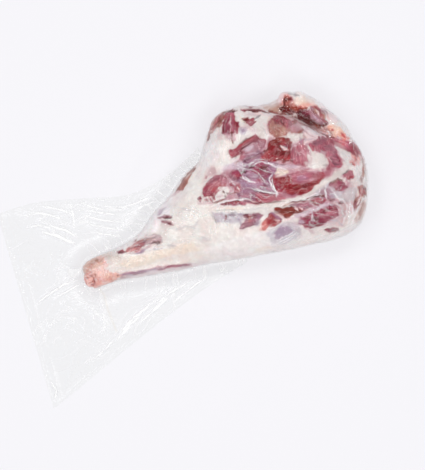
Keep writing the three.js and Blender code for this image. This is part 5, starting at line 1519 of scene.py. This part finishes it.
def bone_material():
    """Moist bone and gristle with fine pores."""
    made, tree = material("joint_bone")
    tint = attribute(tree, "tint", "Color")
    place = add(tree, "TexCoord").outputs["Object"]
    pores = pattern(tree, place, 500.0, detail=4.0, roughness=0.65)
    toned = shade(tree, tint, mapped(tree, pores, 0.3, 0.7, 0.86, 1.1))
    surface = add(
        tree, "BsdfPrincipled", Base_Color=toned, Roughness=0.35, Normal=bumps(tree, pores, 0.5, 0.0005),
        Subsurface_Weight=0.15, Subsurface_Radius=(1.0, 0.4, 0.3), Subsurface_Scale=0.002,
    )
    finish_material(tree, surface.outputs[0])
    return made


def film_material(name, tint, gloss_ior, roughness, haze_and_glint_strength):
    """Clear film: it lets light through, mirrors it off its folds, and turns milky white where it is creased,
    which on the crests is partly a painted highlight.

    Both of its sides mirror alike, as a film's do.
    """
    made, tree = material(name)
    haze_and_glint = math_node(tree, "MULTIPLY", attribute(tree, "haze_and_glint", "Fac"), haze_and_glint_strength)
    stain = attribute(tree, "stain", "Fac")
    place = add(tree, "TexCoord").outputs["Object"]
    bump = bumps(tree, pattern(tree, place, 260.0), 0.35, 0.0005)
    clear = add(tree, "BsdfTransparent", Color=mixed(tree, stain, tint, STAIN_TINT)).outputs[0]
    gloss = add(tree, "BsdfGlossy", Color=(1.0, 1.0, 1.0, 1.0), Roughness=roughness, Normal=bump).outputs[0]
    milk_and_glint = add(tree, "BsdfDiffuse", Color=(0.97, 0.97, 0.97, 1.0)).outputs[0]
    back = add(tree, "NewGeometry").outputs["Backfacing"]
    both_sides = add(tree, "Mix", {"data_type": "FLOAT"}, Factor=back, A=gloss_ior, B=1.0 / gloss_ior)
    mirror = add(tree, "Fresnel", IOR=both_sides.outputs[0], Normal=bump).outputs[0]
    sheer = add(tree, "MixShader", i0=haze_and_glint, i1=clear, i2=milk_and_glint).outputs[0]
    surface = add(tree, "MixShader", i0=mirror, i1=sheer, i2=gloss).outputs[0]
    finish_material(tree, surface)
    return made


def floor_material():
    made, tree = material("pale_floor")
    tone = linear(FLOOR_TONE)
    surface = add(
        tree, "BsdfPrincipled", Base_Color=(*((1.0 - FLOOR_GLOW) * FLOOR_ALBEDO * tone), 1.0), Roughness=0.9,
        Specular_IOR_Level=0.0, Emission_Color=(*tone, 1.0), Emission_Strength=FLOOR_GLOW,
    )
    finish_material(tree, surface.outputs[0])
    return made


# Pieces
def meat_piece():
    """The meat: the solid's form, melted from its facets, with the cut's own relief and colours."""
    mesh = applied(copy_of("meat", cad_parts["leg"]), remeshed(MEAT_VOXEL), smoothed(MEAT_PASSES))
    points = mesh_points(mesh)
    normals = mesh_normals(mesh)
    sideways = 1.0 - smooth(normals[:, 2], 0.4, 0.9)
    points += normals * (sideways * add_folds(points, MEAT_BULGES, 1.0)[0])[:, None]
    set_mesh_points(mesh, points)
    normals = mesh_normals(mesh)
    coat = paint_meat(points, normals)
    off_table = smooth(points[:, 2], 0.2, 4.0)
    points += normals * (coat.relief * off_table)[:, None]
    points[:, 2] = np.maximum(points[:, 2], MEAT_LIFT)
    set_mesh_points(mesh, points)
    set_colours(mesh, "tint", coat.colour)
    set_numbers(mesh, "wet", coat.wet)
    set_vectors(mesh, "grain", grain_vectors(coat.grain))
    mesh = thinned(mesh)
    shade_smooth(mesh)
    mesh.materials.append(meat_material())
    piece = new_piece("lamb_leg_meat", mesh)
    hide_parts("leg")
    return piece


def bone_colours(points, normals, lumps):
    """The meat's colours from above, and pinks and browns of gristle down the sides."""
    drift = np.clip(0.5 + 0.8 * layered(points, 4.0, 92), 0.0, 1.0)
    side = drifting("raw pink", drift)
    side = covered(side, "salmon", drift, smooth(layered(points, 5.0, 93), 0.0, 0.6))
    side = covered(side, "brown red", drift, 0.7 * smooth(-lumps, 0.4, 0.9))
    colour = paint_meat(points, normals).colour
    return colour + (side - colour) * (1.0 - smooth(normals[:, 2], 0.1, 0.6))[:, None]


def bone_piece():
    """The bared joint at the shank's end: knobbly bone under torn pink gristle."""
    mesh = applied(copy_of("bone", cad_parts["shank_bone"]), remeshed(BONE_VOXEL), smoothed(BONE_PASSES))
    points = mesh_points(mesh)
    normals = mesh_normals(mesh)
    lumps = layered(points, 6.0, 91)
    colour = bone_colours(points, normals, lumps)
    bare = 1.0 - smooth(points[:, 0], BARE_BONE_END, BARE_BONE_END + 8.0)
    points += normals * (BONE_LUMPS * lumps * bare)[:, None]
    set_mesh_points(mesh, points)
    set_colours(mesh, "tint", colour)
    shade_smooth(mesh)
    mesh.materials.append(bone_material())
    piece = new_piece("shank_joint", mesh)
    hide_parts("shank_bone")
    return piece


def drawn_tight(meat, bone):
    """A fine skin round the meat and the bone, drawn tight over hollows and let down near the meat."""
    swollen = copy_of("cling", meat, bone)
    set_mesh_points(swollen, mesh_points(swollen) + CLING_BRIDGE * mesh_normals(swollen))
    mesh = applied(swollen, remeshed(FILM_VOXEL), smoothed(FILM_PASSES))
    set_mesh_points(mesh, mesh_points(mesh) - (CLING_BRIDGE - CLING_STAND_OFF) * mesh_normals(mesh))
    finer = {"levels": 1, "render_levels": 1}
    outside = {
        "target": meat, "wrap_method": "NEAREST_SURFACEPOINT", "wrap_mode": "OUTSIDE",
        "offset": CLING_STAND_OFF * MM,
    }
    return applied(mesh, smoothed(FILM_LAST_PASSES), ("SUBSURF", finer), ("SHRINKWRAP", outside))


def cling_film_piece(meat, bone, look):
    """The film that clings to the meat, bridges its hollows and stands up in folds."""
    mesh = drawn_tight(meat, bone)
    points = mesh_points(mesh)
    normals = mesh_normals(mesh)
    upper = smooth(normals[:, 2], -0.1, 0.4)
    seen = as_seen(points)
    fold_height, fold_crest = add_folds(seen, CLING_FOLDS, CLING_FOLD_CREASE)
    wrinkle_height, wrinkle_crest = add_fields(seen, CLING_FIELDS, 200)
    ridges = (1.0 - np.abs(noise(points / SIDE_WRINKLE_SIZE, 300))) ** 4
    side_height = SIDE_WRINKLE_HEIGHT * (1.0 - upper) * ridges
    height = upper * (CLING_FOLD_HEIGHT * fold_height + wrinkle_height) + side_height
    off_table = smooth(points[:, 2], 0.5, 6.0)
    points += normals * (height * off_table)[:, None]
    points[:, 2] = np.maximum(points[:, 2], CLING_LIFT)
    set_mesh_points(mesh, points)
    # Milky white on the crests of the folds and wrinkles: partly creased film, partly painted highlight where
    # they glint
    haze_and_glint = upper * np.clip(FOLD_HAZE_AND_GLINT * fold_crest + WRINKLE_HAZE_AND_GLINT * wrinkle_crest, 0.0, 1.0)
    set_numbers(mesh, "haze_and_glint", haze_and_glint)
    set_numbers(mesh, "stain", np.zeros(len(points)))
    mesh = thinned(mesh)
    shade_smooth(mesh)
    mesh.materials.append(look)
    piece = new_piece("cling_film", mesh)
    return piece


def spline(points, count):
    """Evenly numbered places along a smooth curve through some plan points."""
    table = np.asarray(points, float)
    padded = np.vstack([2 * table[0] - table[1], table, 2 * table[-1] - table[-2]])
    place = np.linspace(0.0, len(table) - 1, count)
    row = np.minimum(place.astype(int), len(table) - 2)
    t = (place - row)[:, None]
    a, b, c, d = (padded[row + k] for k in range(4))
    return 0.5 * (2 * b + (c - a) * t + (2 * a - 5 * b + 4 * c - d) * t**2 + (3 * b - a - 3 * c + d) * t**3)


def skirt_grid():
    """Rows of plan points that fill the loose part of the bag, from the near edge to the far one."""
    rows = int(math.dist(BAG_NEAR_EDGE[0], BAG_NEAR_EDGE[-1]) / SKIRT_STEP)
    columns = int(math.dist(BAG_NEAR_EDGE[0], BAG_FAR_EDGE[0]) / SKIRT_STEP)
    near_points = spline(BAG_NEAR_EDGE, rows)
    far_points = spline(BAG_FAR_EDGE, rows)
    share = np.linspace(0.0, 1.0, columns)
    grid = near_points[:, None] + (far_points - near_points)[:, None] * share[None, :, None]
    return grid, rows, columns


def distance_from_leg(plan, height):
    """Distance in millimetres from places at one height to the leg, negative inside it.

    Also the leg's nearest place to each.
    """
    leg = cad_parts["leg"]
    tree = BVHTree.FromPolygons(
        [vertex.co.copy() for vertex in leg.data.vertices],
        [list(polygon.vertices) for polygon in leg.data.polygons],
    )
    up = Vector((0.0, 0.0, 1.0))
    spots = (np.column_stack([plan, np.full(len(plan), height)]) + PLAN_ORIGIN) * MM
    distance = np.empty(len(plan))
    nearest = np.empty((len(plan), 3))
    for index, place in enumerate(spots):
        spot = Vector(place)
        found, _, _, away = tree.find_nearest(spot)
        inside = tree.ray_cast(spot, up)[0] is not None and tree.ray_cast(spot, -up)[0] is not None
        distance[index] = (-away if inside else away) / MM
        nearest[index] = found
    return distance, nearest / MM


def pleats_from_leg(distance, nearest):
    """How high each plan point stands on the pleats that fan out from the leg, from 0 to 1."""
    bend = np.column_stack([distance, distance, np.zeros(len(distance))]) * PLEAT_BEND
    pleat = (1.0 - np.abs(noise((nearest + bend) / PLEAT_SPACING, 411))) ** 5
    pleat *= smooth(distance, 0.0, 5.0) * (1.0 - smooth(distance, 0.3 * PLEAT_REACH, PLEAT_REACH))
    return pleat


def seam_and_seal(plan):
    """How much of a seam and of the heat seal each plan point is, and how far from the sealed end."""
    x, y = plan[:, 0], plan[:, 1]
    sides_away = np.minimum(line_distance(x, y, BAG_NEAR_EDGE), line_distance(x, y, BAG_FAR_EDGE))
    end_away = line_distance(x, y, [BAG_NEAR_EDGE[0], BAG_FAR_EDGE[0]])
    seam = 1.0 - smooth(np.minimum(sides_away, end_away), 0.5 * SEAM_WIDTH, 1.5 * SEAM_WIDTH)
    seal = bell((end_away - SEAL_PLACE) / (0.5 * SEAL_WIDTH)) ** 2
    return seam, seal, end_away


def skirt_films(plan, distance, nearest):
    """Height of the upper and of the lower film at plan points, and the upper one's milkiness with the
    painted highlight on its crests.
    """
    points = np.column_stack([plan, np.zeros(len(plan))])
    climb = SKIRT_CLIMB * bell(np.maximum(distance, 0.0) / SKIRT_CLIMB_REACH)
    swell = SKIRT_SWELL * (0.5 + 0.5 * noise(points / SKIRT_SWELL_SIZE, 401))
    fold_height, fold_crest = add_folds(points, SKIRT_FOLDS, SKIRT_FOLD_CREASE)
    crinkle_height, crinkle_crest = add_fields(points, SKIRT_FIELDS, 500)
    pleat = pleats_from_leg(distance, nearest)
    crinkle_height += PLEAT_HEIGHT * pleat
    crinkle_crest = np.maximum(crinkle_crest, smooth(pleat, 0.45, 0.85))

    seam, seal, end_away = seam_and_seal(plan)
    free = (1.0 - SEAM_FLATTENS * seam) * (1.0 - SEAL_FLATTENS * seal)
    film_rise = (swell + fold_height + crinkle_height) * free
    ribs = SEAL_RIB_HEIGHT * np.sin(2.0 * math.pi * end_away / SEAL_RIB_SPACING) * seal
    settle = smooth(distance, -3.0, 6.0)
    top = climb + SKIRT_LOFT * (1.0 - seam) + SKIRT_BASE + film_rise * (0.3 + 0.7 * settle) + ribs
    under_swell = UNDER_SWELL * (0.5 + 0.5 * noise(points / UNDER_SWELL_SIZE, 402))
    under = UNDER_BASE + under_swell + UNDER_CLIMB * climb
    top = np.maximum(top, under + FILM_GAP)
    # Milky white on the crests of the folds, crinkles and pleats: partly creased film, partly painted
    # highlight where they glint; on the seal and the seams it is the film's own milkiness
    haze_and_glint = fold_crest + CRINKLE_HAZE_AND_GLINT * crinkle_crest + SEAL_HAZE * seal + SEAM_HAZE * seam
    return top, under, np.clip(haze_and_glint, 0.0, 1.0)


def closed_films(top, under, rows, columns, keep):
    """A mesh of two films over the kept part of a grid, joined all round it."""
    row, column = np.meshgrid(np.arange(rows - 1), np.arange(columns - 1), indexing="ij")
    first = (row * columns + column).ravel()
    corners = np.column_stack([first, first + columns, first + columns + 1, first + 1])
    corners = corners[np.all(keep[corners], axis=1)]
    count = len(top)
    faces = corners.tolist() + (corners[:, ::-1] + count).tolist()
    rim = {}
    for quad in corners.tolist():
        for a, b in zip(quad, quad[1:] + quad[:1]):
            if (b, a) in rim:
                del rim[(b, a)]
            else:
                rim[(a, b)] = True
    faces += [[b, a, a + count, b + count] for a, b in rim]
    mesh = bpy.data.meshes.new("skirt")
    mesh.from_pydata(((np.vstack([top, under]) + PLAN_ORIGIN) * MM).tolist(), [], faces)
    return mesh


def skirt_piece(look):
    """The loose part of the bag: two films that lie on each other, crinkled and sealed along the edges."""
    grid, rows, columns = skirt_grid()
    plan = grid.reshape(-1, 2)
    distance, nearest = distance_from_leg(plan, SKIRT_CLIMB)
    top, under, haze_and_glint = skirt_films(plan, distance, nearest)
    stain = STAIN_COVER * bell(line_distance(plan[:, 0], plan[:, 1], JUICE_LINE) / (0.5 * JUICE_WIDTH))
    mesh = closed_films(
        np.column_stack([plan, top]), np.column_stack([plan, under]), rows, columns, distance > -SKIRT_OVERLAP
    )
    set_numbers(mesh, "haze_and_glint", np.concatenate([haze_and_glint, UNDER_HAZE * haze_and_glint]))
    set_numbers(mesh, "stain", np.concatenate([stain, UNDER_STAIN * stain]))
    shade_smooth(mesh)
    mesh.materials.append(look)
    piece = new_piece("bag_film", mesh)
    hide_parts("bag")
    return piece


# Stage
def floor():
    """A plain table that reaches past every edge of the picture."""
    half = 0.5 * FLOOR_SIZE
    corners = [(-half, -half), (half, -half), (half, half), (-half, half)]
    mesh = bpy.data.meshes.new("floor")
    mesh.from_pydata([(x, y, -FLOOR_DROP) for x, y in corners], [], [(0, 1, 2, 3)])
    mesh.materials.append(floor_material())
    piece = bpy.data.objects.new("floor", mesh)
    bpy.context.scene.collection.objects.link(piece)


def softbox(name, bearing, elevation, distance, size, share):
    """An area light that gives its share of the light on the floor, and faces the middle of the leg.

    The bearing is taken from the top of the photograph, clockwise.
    """
    turn = math.radians(bearing)
    level = PHOTO_UP * math.cos(turn) + PHOTO_RIGHT * math.sin(turn)
    rise = math.radians(elevation)
    middle = (np.array([*VIEW_CENTRE, 0.0]) + PLAN_ORIGIN) * MM
    aim = Vector((*middle[:2], AIM_HEIGHT))
    light = bpy.data.lights.new(name, "AREA")
    light.shape = "RECTANGLE"
    light.size, light.size_y = size
    light.energy = share * math.pi**2 * distance**2 / math.sin(rise)
    lamp = bpy.data.objects.new(name, light)
    lamp.location = aim + (level * math.cos(rise) + Vector((0.0, 0.0, math.sin(rise)))) * distance
    lamp.rotation_euler = (lamp.location - aim).to_track_quat("Z", "Y").to_euler()
    bpy.context.scene.collection.objects.link(lamp)


def lights():
    """The softboxes and the even light from all round."""
    for index in range(RING_COUNT):
        bearing = RING_START + 360.0 * index / RING_COUNT
        softbox(f"ring_{index}", bearing, RING_HEIGHT, RING_DISTANCE, RING_SIZE, RING_SHARE)
    for name, bearing, elevation, distance, share in STRIPS:
        softbox(name, bearing, elevation, distance, STRIP_SIZE, share)
    world = bpy.data.worlds.new("studio")
    world.use_nodes = True
    background = world.node_tree.nodes["Background"]
    background.inputs["Color"].default_value = (1.0, 1.0, 1.0, 1.0)
    background.inputs["Strength"].default_value = WORLD_SHARE
    bpy.context.scene.world = world


def camera():
    """Looks straight down, framed as the photograph."""
    data = bpy.data.cameras.new("camera")
    data.sensor_fit = "VERTICAL"
    data.sensor_height = SENSOR_HEIGHT
    frame_height = PHOTO_SIZE[1] * PHOTO_MM_PER_PIXEL * MM
    data.lens = SENSOR_HEIGHT * CAMERA_DISTANCE / frame_height
    data.clip_end = 20.0
    middle = (np.array([*VIEW_CENTRE, VIEW_HEIGHT]) + PLAN_ORIGIN) * MM
    eye = Vector(middle) + Vector((0.0, 0.0, CAMERA_DISTANCE))
    turn = Matrix((PHOTO_RIGHT, PHOTO_UP, PHOTO_RIGHT.cross(PHOTO_UP))).transposed().to_4x4()
    piece = bpy.data.objects.new("camera", data)
    piece.matrix_world = Matrix.Translation(eye) @ turn
    bpy.context.scene.collection.objects.link(piece)
    bpy.context.scene.camera = piece


bpy.context.scene.view_settings.view_transform = "Standard"
camera()
floor()
lights()
meat = meat_piece()
bone = bone_piece()
cling_look = film_material(
    "cling_film", tint=(0.995, 0.995, 0.995, 1.0), gloss_ior=1.34, roughness=0.08, haze_and_glint_strength=0.85
)
cling_film_piece(meat, bone, cling_look)
bag_look = film_material(
    "bag_film", tint=(0.985, 0.988, 0.983, 1.0), gloss_ior=1.25, roughness=0.09, haze_and_glint_strength=0.9
)
skirt_piece(bag_look)
